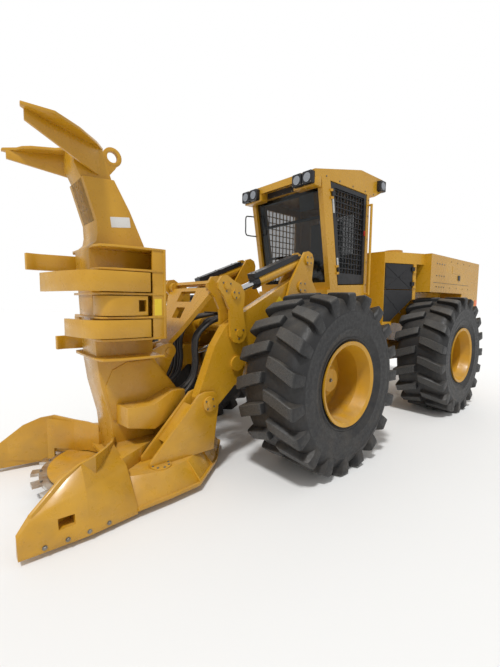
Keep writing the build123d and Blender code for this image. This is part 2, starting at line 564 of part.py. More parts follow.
def offset_2d_band(line, s):
    points = [line @ 0] + [edge @ 1 for edge in line.edges()]
    inner = []
    count = len(points)
    for index, point in enumerate(points):
        before = points[max(index - 1, 0)]
        after = points[min(index + 1, count - 1)]
        first = (point - before) if index > 0 else (after - point)
        second = (after - point) if index < count - 1 else first
        bisect = (first.normalized() + second.normalized()).normalized()
        normal = Vector(bisect.Y * s, -bisect.X * s, 0)
        half_turn = first.get_angle(second) / 2
        inner.append(point + normal * (BAND / cos(radians(half_turn))))
    return Polyline(*points, *reversed(inner), close=True)


CLAMP_UPPER = [(1730, 470), (2080, 440), (2240, 120), (2320, -300)]
CLAMP_LOWER = [(1730, 470), (2030, 440), (2150, 170), (2180, -80)]
GRAB_UPPER = [(1730, 470), (2050, 490), (2400, 520)]
GRAB_LOWER = [(1730, 470), (1900, 485), (2160, 510)]


def gathering_arm(rows, s, z_low, z_high):
    arm = disc_z(ARM_PIN[0], s * ARM_PIN[1], z_low + SEAT_GAP, z_high - SEAT_GAP, ARM_TUBE_R)
    for outer, z0, z1 in rows:
        arm = arm + band(outer, z0, z1, s)
        arm = arm + bar(at(ARM_PIN[0] - 45), at(ARM_PIN[0] + 90), s * ARM_PIN[1], s * 440, z0, z1)
    return arm - disc_z(ARM_PIN[0], s * ARM_PIN[1], z_low - 5, z_high + 5, ARM_PIN_R + PIN_GAP)


parts["clamp_arm"] = gathering_arm([(CLAMP_UPPER, 1793, 1962), (CLAMP_LOWER, 1398, 1552)], 1, 1390, 1970)
parts["grab_arm"] = gathering_arm([(GRAB_UPPER, 1998, 2152), (GRAB_LOWER, 1228, 1362)], -1, 1220, 2160)
head = parts["head_spine"]
for s, low, high in ((1, 1390, 1970), (-1, 1220, 2160)):
    head = head - disc_z(ARM_PIN[0], s * ARM_PIN[1], low - 0.01, high + 0.01, ARM_TUBE_R + 6)
    head = head + disc_z(ARM_PIN[0], s * ARM_PIN[1], low - 20, high + 20, ARM_PIN_R)
parts["head_spine"] = head

# Cab: floor, posts and rails, roof, walls, windows, door, seat, lamps and handrail
CAB_PLAN = [(-700, -CAB_HALF), (-1620, -CAB_HALF), (-1760, -500), (-1760, 500), (-1620, CAB_HALF), (-700, CAB_HALF)]
floor = flat_plate(CAB_PLAN, 1780, CAB_FLOOR_Z)
feet = [bar(at(-750), at(-640), s * 420, s * 560, 1700, 1780) for s in (1, -1)]
feet = feet + [bar(at(-990), at(-910), s * 60, s * 190, FRAME_TOP, 1780) for s in (1, -1)]
door_sill = side_plate([(-932, CAB_FLOOR_Z), (-1558, CAB_FLOOR_Z), (-1558, DOOR_BOTTOM_Z + 15),
                        (-922, DOOR_BOTTOM_Z - 15)], CAB_HALF - 40, CAB_HALF)
parts["cab_floor"] = join([floor, door_sill] + feet)

posts = []
for s in (1, -1):
    posts.append(side_plate([(-760, CAB_FLOOR_Z), (-930, CAB_FLOOR_Z), (-700, 3240), (-525, 3240)],
                            s * (CAB_HALF - 70), s * CAB_HALF))
    posts.append(side_plate([(-1560, CAB_FLOOR_Z), (-1620, CAB_FLOOR_Z), (-1620, 3240), (-1560, 3240)],
                            s * (CAB_HALF - 70), s * CAB_HALF))
    posts.append(bar(at(-1760), at(-1700), s * 440, s * 500, CAB_FLOOR_Z, 3240))
    posts.append(bar(at(-1620), at(-690), s * (CAB_HALF - 70), s * CAB_HALF, DOOR_TOP_Z + 5, 3240))
posts.append(bar(at(-1760), at(-1700), -500, 500, 3180, 3240))
for s in (1, -1):
    posts.append(flat_plate([(-1615, s * 640), (-1620, s * 640), (-1760, s * 500), (-1745, s * 480), (-1615, s * 610)],
                            CAB_FLOOR_Z, 3240))
posts.append(side_plate([(-525, 3240), (-600, 3240), (-614, 3160), (-539, 3160)], -CAB_HALF, CAB_HALF))
posts.append(side_plate([(-760, CAB_FLOOR_Z), (-835, CAB_FLOOR_Z), (-818, 1980), (-743, 1980)], -CAB_HALF, CAB_HALF))
parts["cab_posts"] = join(posts)

roof = side_plate([(-400, ROOF_FRONT_Z), (-1390, ROOF_PEAK_Z), (-1960, ROOF_PEAK_Z - 5), (-1960, 3340),
                   (-1760, 3240), (-525, 3240), (-400, 3210)], -CAB_HALF, CAB_HALF)
parts["cab_roof"] = roof

guard_bars = []
for s in (1, -1):
    guard_bars.append(side_plate([(-820, 1980), (-860, 1980), (-664, 3160), (-624, 3160)], s * 500, s * 569.7))
guard_bars.append(side_plate([(-624, 3160), (-664, 3160), (-671, 3120), (-631, 3120)], -560, 560))
guard_bars.append(side_plate([(-820, 1980), (-860, 1980), (-853, 2020), (-813, 2020)], -560, 560))
for z in (2350, 2800):
    x = -820 + (z - 1980) / (3160 - 1980) * 196
    guard_bars.append(bar(at(x - 40), at(x), -520, 520, z, z + 30))
parts["cab_front_guard"] = join(guard_bars)

right_wall = side_plate([(-935, CAB_FLOOR_Z), (-1555, CAB_FLOOR_Z), (-1555, DOOR_TOP_Z), (-712, DOOR_TOP_Z)],
                        -CAB_HALF, -CAB_HALF + CAB_WALL)
window = side_plate([(-985, 2060), (-1480, 2060), (-1480, 3120), (-805, 3120)], -CAB_HALF - 50, -CAB_HALF + 90)
right_wall = right_wall - window
for x in range(-1440, -800, 80):
    top = 3130
    low = 2050
    left_limit = -985 + (top - 2060) / 1060 * 180
    right_wall = right_wall + (bar(at(x), at(x + 12), -CAB_HALF + 10, -CAB_HALF + 22, low, top)
                               & side_plate([(-970, 2050), (-1490, 2050), (-1490, 3130), (-790, 3130)], -CAB_HALF, 0))
for z in range(2130, 3120, 90):
    right_wall = right_wall + (bar(at(-1490), at(-780), -CAB_HALF + 10, -CAB_HALF + 22, z, z + 12)
                               & side_plate([(-970, 2050), (-1490, 2050), (-1490, 3130), (-790, 3130)], -CAB_HALF, 0))
parts["cab_right_wall"] = right_wall

rear_wall = bar(at(-1755), at(-1715), -440, 440, CAB_FLOOR_Z, 3180)
rear_wall = rear_wall - bar(at(-1800), at(-1650), -340, 340, 2450, 3050)
parts["cab_rear_wall"] = rear_wall

panes = [side_plate([(-780, 1985), (-792, 1985), (-596, 3155), (-584, 3155)], -570 + SEAT_GAP, 570 - SEAT_GAP),
         bar(at(-1741), at(-1729), -340 + SEAT_GAP, 340 - SEAT_GAP, 2450 + SEAT_GAP, 3050 - SEAT_GAP)]
parts["cab_windows"] = Compound(children=panes)

seat = join([bar(at(-1450), at(-980), -250, 250, 2120, 2260), bar(at(-1560), at(-1430), -240, 240, 2200, 2920),
             bar(at(-1380), at(-1080), -180, 180, CAB_FLOOR_Z, 2120),
             bar(at(-1420), at(-1020), -400, -270, 2180, 2400), bar(at(-1420), at(-1020), 270, 400, 2180, 2400),
             bar(at(-1300), at(-1100), -400, 400, 2000, 2180)])
parts["cab_seat"] = seat

door_outline = [(-937, DOOR_BOTTOM_Z), (-1550, DOOR_BOTTOM_Z + 30), (-1550, DOOR_TOP_Z - 5), (-712, DOOR_TOP_Z - 5)]
door_inner = [(-975, DOOR_BOTTOM_Z + 150), (-1495, DOOR_BOTTOM_Z + 150), (-1495, DOOR_TOP_Z - 60),
              (-795, DOOR_TOP_Z - 60)]
door = side_plate(door_outline, CAB_HALF - 45, CAB_HALF - 5)
door = door - side_plate(door_inner, CAB_HALF - 90, CAB_HALF + 40)
bars = []
for x in range(-1460, -800, 70):
    bars.append(bar(at(x), at(x + 10), CAB_HALF - 30, CAB_HALF - 20, DOOR_BOTTOM_Z + 100, DOOR_TOP_Z - 40))
for z in range(int(DOOR_BOTTOM_Z + 210), int(DOOR_TOP_Z - 60), 70):
    bars.append(bar(at(-1520), at(-780), CAB_HALF - 30, CAB_HALF - 20, z, z + 10))
mesh = join(bars) & side_plate([(-965, DOOR_BOTTOM_Z + 140), (-1505, DOOR_BOTTOM_Z + 140), (-1505, DOOR_TOP_Z - 50),
                                (-785, DOOR_TOP_Z - 50)], CAB_HALF - 45, CAB_HALF - 5)
door_axis = Vector(-937 + 712, 0, DOOR_BOTTOM_Z - DOOR_TOP_Z + 5).normalized()
door_origin = Vector(at(-712), CAB_HALF + 12, DOOR_TOP_Z - 5)
moving, fixed = hinge(door_origin, door_axis, Vector(0, 1, 0), (120, 1060), -40)
parts["cab_door"] = join([door + mesh] + moving)
parts["cab_posts"] = join([parts["cab_posts"]] + fixed)
parts["door_glass"] = side_plate([(-975.4, DOOR_BOTTOM_Z + 150.3), (-1494.7, DOOR_BOTTOM_Z + 150.3),
                                  (-1494.7, DOOR_TOP_Z - 60.3), (-795.4, DOOR_TOP_Z - 60.3)],
                                 CAB_HALF - 44, CAB_HALF - 34)

lamps = []
for y0, y1 in ((430, 560), (270, 400), (-400, -270), (-560, -430)):
    lamps.append(bar(at(-400), at(-330), y0, y1, 3150, 3280))
parts["cab_lamps"] = Compound(children=lamps)
rail = join([tube_between((-1600, 690, 1830), (-1600, 690, 3100), 17),
             tube_between((-1600, 690, 1850), (-1600, 640, 1850), 14),
             tube_between((-1600, 690, 3090), (-1600, 640, 3090), 14)])
parts["cab_handrail"] = rail

# Middle enclosure on the rear frame: sill, roof band, front wall and door posts, narrower towards the cab
def hood_half(x):
    """Half width of the tapered middle enclosure at a place along the machine."""
    share = (HOOD_FRONT - x) / (HOOD_FRONT - HOOD_STEP)
    return HOOD_FRONT_HALF + share * (HOOD_MID_HALF - HOOD_FRONT_HALF)


def hood_plan(inset, front, back):
    return [(front, -hood_half(front) + inset), (back, -hood_half(back) + inset),
            (back, hood_half(back) - inset), (front, hood_half(front) - inset)]


band_top = flat_plate(hood_plan(0, HOOD_FRONT, HOOD_STEP), 2330, HOOD_TOP_Z)
band_top = band_top - flat_plate(hood_plan(SHEET, HOOD_FRONT - SHEET, HOOD_STEP + 5), 2320, HOOD_TOP_Z - SHEET)
sill = flat_plate(hood_plan(0, HOOD_FRONT, -2240), 1380, HOOD_SILL_Z)
front_wall = bar(at(HOOD_FRONT - SHEET), at(HOOD_FRONT), -HOOD_FRONT_HALF, HOOD_FRONT_HALF, 1380, 2400)
mid = join([band_top, sill, front_wall])
for s in (1, -1):
    mid = mid + flat_plate([(-2600, s * (hood_half(-2600) - 60)), (-2600, s * hood_half(-2600)),
                            (-2650, s * hood_half(-2650)), (-2650, s * (hood_half(-2650) - 60))], 1780, 2400)
parts["mid_enclosure"] = mid


def engine_door(s):
    front = HOOD_FRONT - SHEET - SEAT_GAP
    back = -2600 + SEAT_GAP
    panel = flat_plate([(front, s * (hood_half(front) - 45)), (front, s * (hood_half(front) - 5)),
                        (back, s * (hood_half(back) - 5)), (back, s * (hood_half(back) - 45))],
                       HOOD_SILL_Z + SEAT_GAP, 2330 - 8)
    return panel


def engine_door_and_screen(s):
    """The hinged upper door and the fixed lower screen, cut away over the rear tyre."""
    front = HOOD_FRONT - SHEET
    upper = engine_door(s) & side_plate([(front - 8, DOOR_SPLIT_Z + 6), (-2592, DOOR_SPLIT_Z + 6), (-2592, 2322),
                                         (front - 8, 2322)], -2000, 2000)
    lower = engine_door(s) & side_plate([(front, 1420), (-2200, 1420), (-2600, 1790), (-2600, DOOR_SPLIT_Z - 6),
                                         (front, DOOR_SPLIT_Z - 6)], -2000, 2000)
    return upper, lower


DOOR_SPLIT_Z = 1930
screens = []
for s, word in ((1, "left"), (-1, "right")):
    parts["engine_door_" + word], lower = engine_door_and_screen(s)
    lean = Vector(-(HOOD_STEP - HOOD_FRONT), s * (HOOD_FRONT_HALF - HOOD_MID_HALF), 0).normalized()
    out = Vector(-s * lean.Y, s * lean.X, 0)
    origin = Vector(at(-2596), s * (hood_half(-2596) + 14), 0)
    moving, fixed = hinge(origin, Vector(0, 0, 1), out, (1990, 2220), -40 * s)
    parts["engine_door_" + word] = join([parts["engine_door_" + word]] + moving)
    parts["mid_enclosure"] = join([parts["mid_enclosure"]] + fixed)
    screens.append(lower)
parts["side_screens"] = Compound(children=screens)

# Rear enclosure: a shell over the engine and the rear tyres, with its tail behind them
shell = bar(at(HOOD_STEP), at(-TAIL_REACH), -HOOD_REAR_HALF, HOOD_REAR_HALF, 1900, HOOD_TOP_Z)
shell = shell + bar(at(-4180), at(-TAIL_REACH), -HOOD_REAR_HALF, HOOD_REAR_HALF, 1380, 1910)
shell = shell + bar(at(HOOD_STEP), at(-4200), -700, 700, 1380, 1910)
hollow = bar(at(HOOD_STEP - SHEET), at(-TAIL_REACH + 60), -HOOD_REAR_HALF + SHEET, HOOD_REAR_HALF - SHEET,
             1900 + SHEET, HOOD_TOP_Z - SHEET)
hollow = hollow + bar(at(-4180 - SHEET), at(-TAIL_REACH + 60), -HOOD_REAR_HALF + SHEET, HOOD_REAR_HALF - SHEET,
                      1380 + SHEET, 1950)
hollow = hollow + bar(at(HOOD_STEP - SHEET), at(-4300), -700 + SHEET, 700 - SHEET, 1380 + SHEET, 1950)
parts["rear_enclosure"] = shell - hollow
parts["engine_block"] = bar(at(-2950), at(-4300), -380, 380, 1380 + SHEET, 2150)
top = bar(at(-2900), at(-4900), -700, 700, HOOD_TOP_Z, HOOD_TOP_Z + 30)
for x, y, r, h in ((-2950, 350, 150, 90), (-3500, -200, 120, 80)):
    top = top + disc_z(x, y, HOOD_TOP_Z + 25, HOOD_TOP_Z + 30 + h, r)
parts["hood_top"] = top
grille = bar(at(-TAIL_REACH), at(-TAIL_REACH + 40), -900, 900, 1500, 2400)
tail = parts["rear_enclosure"] - bar(at(-TAIL_REACH - 10), at(-TAIL_REACH + 70), -900, 900, 1500, 2400)
parts["rear_enclosure"] = tail
rim_frame = grille - bar(at(-TAIL_REACH - 10), at(-TAIL_REACH + 70), -850, 850, 1550, 2350)
for y in range(-800, 801, 100):
    rim_frame = rim_frame + bar(at(-TAIL_REACH + 10), at(-TAIL_REACH + 30), y - 8, y + 8, 1540, 2360)
parts["tail_grille"] = rim_frame

os.makedirs("parts", exist_ok=True)
for name, shape in parts.items():
    export_step(shape, "parts/" + name + ".step")
print(len(parts), "pieces")
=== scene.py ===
from math import cos, pi, sin

import bmesh
import bpy
from mathutils import Matrix, Vector


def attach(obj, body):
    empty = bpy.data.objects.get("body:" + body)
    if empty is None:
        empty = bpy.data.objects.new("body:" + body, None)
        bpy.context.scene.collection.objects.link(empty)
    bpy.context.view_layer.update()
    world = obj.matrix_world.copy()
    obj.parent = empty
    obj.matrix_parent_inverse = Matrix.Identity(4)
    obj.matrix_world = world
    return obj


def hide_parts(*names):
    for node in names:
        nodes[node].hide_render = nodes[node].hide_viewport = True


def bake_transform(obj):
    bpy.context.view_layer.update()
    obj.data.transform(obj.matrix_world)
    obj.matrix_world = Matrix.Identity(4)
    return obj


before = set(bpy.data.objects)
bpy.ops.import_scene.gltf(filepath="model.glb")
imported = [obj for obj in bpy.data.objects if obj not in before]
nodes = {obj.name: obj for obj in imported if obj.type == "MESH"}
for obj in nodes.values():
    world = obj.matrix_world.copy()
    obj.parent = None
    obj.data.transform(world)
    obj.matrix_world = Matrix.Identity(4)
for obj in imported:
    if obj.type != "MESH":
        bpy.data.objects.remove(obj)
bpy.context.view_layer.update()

# Camera: it stands ahead of the machine on its left side, at a standing person's eye height,
# with the wide lens of a phone held upright. It looks back past the saw head to the rear wheels.
CAMERA_PLACE = (4.175, 3.388, 1.713)
CAMERA_HEADING = -2.29
CAMERA_DIP = 0.089
CAMERA_ROLL = 0.009
FOCAL_PIXELS = 351
PHOTO_HEIGHT_PIXELS = 667
SENSOR = 36
ahead = Vector((cos(CAMERA_DIP) * cos(CAMERA_HEADING), cos(CAMERA_DIP) * sin(CAMERA_HEADING),
                -sin(CAMERA_DIP)))
level_right = Vector((sin(CAMERA_HEADING), -cos(CAMERA_HEADING), 0))
level_up = level_right.cross(ahead)
camera_right = cos(CAMERA_ROLL) * level_right + sin(CAMERA_ROLL) * level_up
camera_up = cos(CAMERA_ROLL) * level_up - sin(CAMERA_ROLL) * level_right
lens = bpy.data.cameras.new("phone_lens")
lens.sensor_width = SENSOR
lens.lens = FOCAL_PIXELS / PHOTO_HEIGHT_PIXELS * SENSOR
lens.clip_start = 0.05
lens.clip_end = 200
camera = bpy.data.objects.new("camera", lens)
bpy.context.scene.collection.objects.link(camera)
camera.matrix_world = Matrix.Translation(CAMERA_PLACE) @ Matrix(
    (camera_right, camera_up, -ahead)).transposed().to_4x4()
bpy.context.scene.camera = camera

# Studio: a pale floor and a pale world, with one large soft sun high on the machine's left front
# and a weaker fill from behind, at the level where a colour renders about as it is written.
FLOOR_SIZE = 120
FLOOR_COLOUR = (0.8, 0.8, 0.79, 1)
FLOOR_ROUGH = 0.9
SKY_FOR_CAMERA = 1.0
SKY_LIGHT = 0.62
# Each lamp: name, direction it shines towards, strength, angle across
SUNS = [("high_sun", (-0.45, -0.3, -1.0), 2.1, 0.12), ("back_fill", (0.7, 0.5, -0.5), 0.5, 0.8)]
bpy.ops.mesh.primitive_plane_add(size=FLOOR_SIZE, location=(0, 0, 0))
floor = bpy.context.object
floor.name = "studio_floor"
floor_paint = bpy.data.materials.new("studio_floor")
floor_paint.use_nodes = True
floor_shader = floor_paint.node_tree.nodes["Principled BSDF"]
floor_shader.inputs["Base Color"].default_value = FLOOR_COLOUR
floor_shader.inputs["Roughness"].default_value = FLOOR_ROUGH
floor.data.materials.append(floor_paint)
for lamp_name, direction, strength, across in SUNS:
    sun = bpy.data.lights.new(lamp_name, "SUN")
    sun.energy = strength
    sun.angle = across
    lamp = bpy.data.objects.new(lamp_name, sun)
    lamp.rotation_mode = "QUATERNION"
    lamp.rotation_quaternion = Vector(direction).to_track_quat("-Z", "Y")
    bpy.context.scene.collection.objects.link(lamp)
sky = bpy.data.worlds.new("pale_sky")
sky.use_nodes = True
bpy.context.scene.world = sky
sky_nodes = sky.node_tree.nodes
sky_links = sky.node_tree.links
sky_nodes["Background"].inputs["Color"].default_value = (1, 1, 1, 1)
sky_path = sky_nodes.new("ShaderNodeLightPath")
sky_level = sky_nodes.new("ShaderNodeMix")
sky_level.data_type = "FLOAT"
sky_level.inputs["A"].default_value = SKY_LIGHT
sky_level.inputs["B"].default_value = SKY_FOR_CAMERA
sky_links.new(sky_path.outputs["Is Camera Ray"], sky_level.inputs["Factor"])
sky_links.new(sky_level.outputs["Result"], sky_nodes["Background"].inputs["Strength"])
bpy.context.scene.view_settings.view_transform = "Standard"

# Front frame and loader towers: welded steel plate, primed and sprayed golden yellow in one coat, dusty
# where it lies flat and chipped in places; the pins are held by bolted keeper caps. Places are given
# from the front axle, and in every loop s is 1 on the machine's left side and -1 on its right.
AXLE_X = 1.165
AHEAD = (1, 0, 0)
LEFT = (0, 1, 0)
UP = (0, 0, 1)
PAINT_YELLOW = (0.52, 0.262, 0.01)
PAINT_YELLOW_FADED = (0.56, 0.295, 0.018)
DUST = (0.36, 0.31, 0.24)
MUD = (0.13, 0.1, 0.07)
CHIP = (0.1, 0.06, 0.035)
GRAIN_DEPTH = 0.004
SHARP_ANGLE = 0.6


def add(tree, kind, **settings):
    """A new node in a material."""
    node = tree.nodes.new(kind)
    for key, value in settings.items():
        setattr(node, key, value)
    return node


def spread(tree, source, low, high, to_low=0.0, to_high=1.0):
    """A value stretched from one range to another."""
    node = add(tree, "ShaderNodeMapRange")
    tree.links.new(source, node.inputs["Value"])
    for key, value in (("From Min", low), ("From Max", high), ("To Min", to_low), ("To Max", to_high)):
        node.inputs[key].default_value = value
    return node.outputs["Result"]


def times(tree, value, factor):
    """A value times another value or a plain number."""
    node = add(tree, "ShaderNodeMath", operation="MULTIPLY")
    tree.links.new(value, node.inputs[0])
    if isinstance(factor, float):
        node.inputs[1].default_value = factor
    else:
        tree.links.new(factor, node.inputs[1])
    return node.outputs["Value"]


def noise(tree, scale, detail):
    """Cloudy values over the object's own space."""
    node = add(tree, "ShaderNodeTexNoise")
    node.inputs["Scale"].default_value = scale
    node.inputs["Detail"].default_value = detail
    tree.links.new(add(tree, "ShaderNodeTexCoord").outputs["Object"], node.inputs["Vector"])
    return node.outputs["Fac"]


def blend(tree, factor, under, over):
    """One colour laid over another."""
    node = add(tree, "ShaderNodeMix", data_type="RGBA")
    tree.links.new(factor, node.inputs["Factor"])
    if isinstance(under, tuple):
        node.inputs["A"].default_value = (*under, 1)
    else:
        tree.links.new(under, node.inputs["A"])
    node.inputs["B"].default_value = (*over, 1)
    return node.outputs["Result"]


def finish(name, base, second, rough, metal=0.0, patch=1.7, grain=120.0, bump=0.06, dust=0.25, mud=0.0,
           chips=0.0, rough_spread=0.16):
    """A worn surface: two tones in patches, dust where it faces up, soil near the ground, chips, grain."""
    made = bpy.data.materials.new(name)
    made.use_nodes = True
    tree = made.node_tree
    shader = tree.nodes["Principled BSDF"]
    shader.inputs["Metallic"].default_value = metal
    surface = add(tree, "ShaderNodeNewGeometry")
    facing = add(tree, "ShaderNodeSeparateXYZ")
    tree.links.new(surface.outputs["Normal"], facing.inputs["Vector"])
    spot = add(tree, "ShaderNodeSeparateXYZ")
    tree.links.new(surface.outputs["Position"], spot.inputs["Vector"])
    colour = blend(tree, spread(tree, noise(tree, patch, 5.0), 0.38, 0.64), base, second)
    faces_up = spread(tree, facing.outputs["Z"], 0.25, 0.95)
    dusty = times(tree, times(tree, faces_up, spread(tree, noise(tree, 5.5, 7.0), 0.38, 0.68)), dust)
    colour = blend(tree, dusty, colour, DUST)
    near_ground = spread(tree, spot.outputs["Z"], 1.25, 0.05)
    soiled = times(tree, times(tree, near_ground, spread(tree, noise(tree, 8.0, 8.0), 0.42, 0.66)), mud)
    colour = blend(tree, soiled, colour, MUD)
    chipped = times(tree, spread(tree, noise(tree, 31.0, 9.0), 0.665, 0.69), chips)
    colour = blend(tree, chipped, colour, CHIP)
    tree.links.new(colour, shader.inputs["Base Color"])
    tree.links.new(spread(tree, noise(tree, grain / 9, 6.0), 0.3, 0.7, rough - rough_spread / 2,
                          rough + rough_spread), shader.inputs["Roughness"])
    relief = add(tree, "ShaderNodeBump")
    relief.inputs["Strength"].default_value = bump
    relief.inputs["Distance"].default_value = GRAIN_DEPTH
    tree.links.new(noise(tree, grain, 3.0), relief.inputs["Height"])
    tree.links.new(relief.outputs["Normal"], shader.inputs["Normal"])
    return made


def coat(material, weight, rough):
    """A clear coat over a finish."""
    sockets = material.node_tree.nodes["Principled BSDF"].inputs
    sockets["Coat Weight"].default_value = weight
    sockets["Coat Roughness"].default_value = rough


def dress(material, *names):
    """CAD nodes take a finish."""
    for name in names:
        nodes[name].data.materials.clear()
        nodes[name].data.materials.append(material)


def skin(mesh, rings, capped=True):
    """Faces from each ring of corners to the next, and over both ends."""
    count = len(rings[0])
    for low, high in zip(rings, rings[1:]):
        for k in range(count):
            after = (k + 1) % count
            mesh.faces.new((low[k], low[after], high[after], high[k]))
    if capped:
        mesh.faces.new(list(reversed(rings[0])))
        mesh.faces.new(rings[-1])
    return mesh


def spin(mesh, place, axis, profile, count=24):
    """A round or many-sided form: (radius, height) pairs turned about an axis that starts at a place."""
    axis = Vector(axis).normalized()
    side = axis.orthogonal().normalized()
    other = axis.cross(side)
    turns = [2 * pi * k / count for k in range(count)]
    return skin(mesh, [[mesh.verts.new(Vector(place) + axis * height
                                       + (side * cos(turn) + other * sin(turn)) * radius) for turn in turns]
                       for radius, height in profile])


def rod(mesh, place, axis, radius, length, count=32):
    """A plain round form that starts at a place."""
    return spin(mesh, place, axis, [(radius, 0), (radius, length)], count)


def bolt(mesh, place, axis, size):
    """A hexagon head on its washer; size is the radius of the head."""
    spin(mesh, place, axis, [(size * 1.35, -0.001), (size * 1.35, size * 0.22)], 16)
    spin(mesh, place, axis, [(size, size * 0.22), (size, size * 0.8), (size * 0.86, size * 0.95)], 6)


def bolt_ring(mesh, centre, axis, radius, count, size, first=0.0):
    """Bolts in a ring about an upright axis, or about one that lies across the machine."""
    rise = Vector(LEFT if axis[2] else UP)
    for step in range(count):
        turn = first + 2 * pi * step / count
        spot = Vector(centre) + Vector(AHEAD) * radius * cos(turn) + rise * radius * sin(turn)
        bolt(mesh, spot, axis, size)


def slab(mesh, centre, along, up, length, height, thick, corner):
    """A thin plate standing out from a surface: along and up lie in it, and corner cuts its corners."""
    along = Vector(along).normalized()
    up = Vector(up)
    up = (up - along * up.dot(along)).normalized()
    out = along.cross(up)
    a = length / 2
    b = height / 2
    c = corner
    outline = [(a - c, -b), (a, -b + c), (a, b - c), (a - c, b), (-a + c, b), (-a, b - c), (-a, -b + c),
               (-a + c, -b)]
    skin(mesh, [[mesh.verts.new(Vector(centre) + along * u + up * v + out * rise) for u, v in outline]
                for rise in (0, thick)])


def hose(mesh, points, radius, count=12):
    """A hose through points, bent smoothly between them."""
    points = [Vector(p) for p in points]
    ends = [points[0] * 2 - points[1]] + points + [points[-1] * 2 - points[-2]]
    line = []
    for p0, p1, p2, p3 in zip(ends, ends[1:], ends[2:], ends[3:]):
        for step in range(8):
            t = step / 8
            line.append(0.5 * (2 * p1 + (p2 - p0) * t + (2 * p0 - 5 * p1 + 4 * p2 - p3) * t ** 2
                               + (3 * p1 - p0 - 3 * p2 + p3) * t ** 3))
    line.append(points[-1])
    side = (line[1] - line[0]).orthogonal().normalized()
    turns = [2 * pi * k / count for k in range(count)]
    rings = []
    for index, point in enumerate(line):
        way = (line[min(index + 1, len(line) - 1)] - line[max(index - 1, 0)]).normalized()
        side = (side - way * side.dot(way)).normalized()
        other = way.cross(side)
        rings.append([mesh.verts.new(point + (side * cos(turn) + other * sin(turn)) * radius)
                      for turn in turns])
    skin(mesh, rings)


def place_piece(mesh, name, material, body=None):
    """The mesh becomes a named piece that rides on a body, or on none."""
    bmesh.ops.recalc_face_normals(mesh, faces=mesh.faces)
    data = bpy.data.meshes.new(name)
    mesh.to_mesh(data)
    mesh.free()
    data.shade_smooth()
    data.set_sharp_from_angle(angle=SHARP_ANGLE)
    data.materials.append(material)
    piece = bpy.data.objects.new(name, data)
    bpy.context.scene.collection.objects.link(piece)
    if body:
        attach(piece, body)
    return piece


def settle(piece, width=0.0, tool=None):
    """Cuts a piece with a tool's mesh, rounds its edges, and keeps the result as its mesh."""
    if tool:
        cutter = place_piece(tool, "cutter", piece.data.materials[0])
        cutter.parent = piece
        cut = piece.modifiers.new("cut", "BOOLEAN")
        cut.object = cutter
        cut.solver = "EXACT"
    if width:
        rounding = piece.modifiers.new("rounding", "BEVEL")
        rounding.width = width
        rounding.segments = 2
        rounding.limit_method = "ANGLE"
        rounding.angle_limit = SHARP_ANGLE
    bpy.context.view_layer.update()
    result = bpy.data.meshes.new_from_object(piece.evaluated_get(bpy.context.evaluated_depsgraph_get()))
    piece.modifiers.clear()
    piece.data = result
    result.shade_smooth()
    result.set_sharp_from_angle(angle=SHARP_ANGLE)
    if tool:
        bpy.data.objects.remove(cutter)


yellow = finish("yellow_paint", PAINT_YELLOW, PAINT_YELLOW_FADED, 0.27, dust=0.16, mud=0.22, chips=0.1)
coat(yellow, 0.25, 0.12)
dress(yellow, "front_frame")
bolt_steel = finish("bolt_steel", (0.3, 0.29, 0.27), (0.2, 0.17, 0.13), 0.34, metal=0.85, dust=0.2, mud=0.3,
                    chips=0.4)
# Each pin: ahead of the axle, height, radius of its ring of bolts
TOWER_PINS = [(-0.21, 1.9, 0.055), (-0.32, 2.22, 0.047)]
TOWER_FACE = 0.65
TOWER_BOLT = 0.0085
bolts = bmesh.new()
for x, z, ring in TOWER_PINS:
    for s in (1, -1):
        bolt_ring(bolts, (AXLE_X + x, s * TOWER_FACE, z), (0, s, 0), ring, 4, TOWER_BOLT, pi / 4)
place_piece(bolts, "tower_pin_bolts", bolt_steel, "front_frame")

# Axles: cast housings, shot blasted and painted, darkened by oil and road dirt. Their turned steel ends
# carry each rim in the bore of its hub. The engine is a cast block of the same dark finish.
REAR_AXLE = -3.112
WHEEL_Z = 0.90984
STUB_FOOT = 0.99
STUB = [(0.0943, 0), (0.0943, 0.084), (0.09, 0.0875)]
cast = finish("cast_housing", (0.22, 0.13, 0.02), (0.1, 0.075, 0.035), 0.6, grain=260.0, bump=0.25, dust=0.5,
              mud=0.8, chips=0.5)
dress(cast, "front_axle", "rear_axle", "engine_block")
for body, along in (("front_frame", 0.0), ("rear_frame", REAR_AXLE)):
    ends = bmesh.new()
    for s in (1, -1):
        spin(ends, (AXLE_X + along, s * STUB_FOOT, WHEEL_Z), (0, s, 0), STUB, 40)
    place_piece(ends, "axle_stubs_" + body, bolt_steel, body)

# Rear frame: the same plate work behind the centre hinge, more soiled because it rides low. The caps over
# the hinge's two pins are each held by a ring of bolts.
HINGE_X = AXLE_X - 1.556
# Each cap: height, way it faces
HINGE_CAPS = [(1.386, 1), (0.614, -1)]
CAP_RING = 0.034
CAP_BOLT = 0.007
dress(yellow, "rear_frame")
bolts = bmesh.new()
for z, out in HINGE_CAPS:
    bolt_ring(bolts, (HINGE_X, 0, z), (0, 0, out), CAP_RING, 6, CAP_BOLT)
place_piece(bolts, "centre_pin_bolts", bolt_steel, "rear_frame")

# Tyres: 28L-26 class forestry tyres, moulded black rubber with deep slanted lugs. The lug tops are painted
# grey, partly dust and partly a painted sheen, and the sidewalls keep a bead ring and two moulded ribs.
TYRE_R = 0.9096
BEAD_R = 0.4085
MIDDLE_R = 0.857
BEAD_DEPTH = 0.2
LUGS = 19
LUG_STEP = 2 * pi / LUGS
WHEEL_Y = 1.138
TYRE_SHARP_ANGLE = 0.55
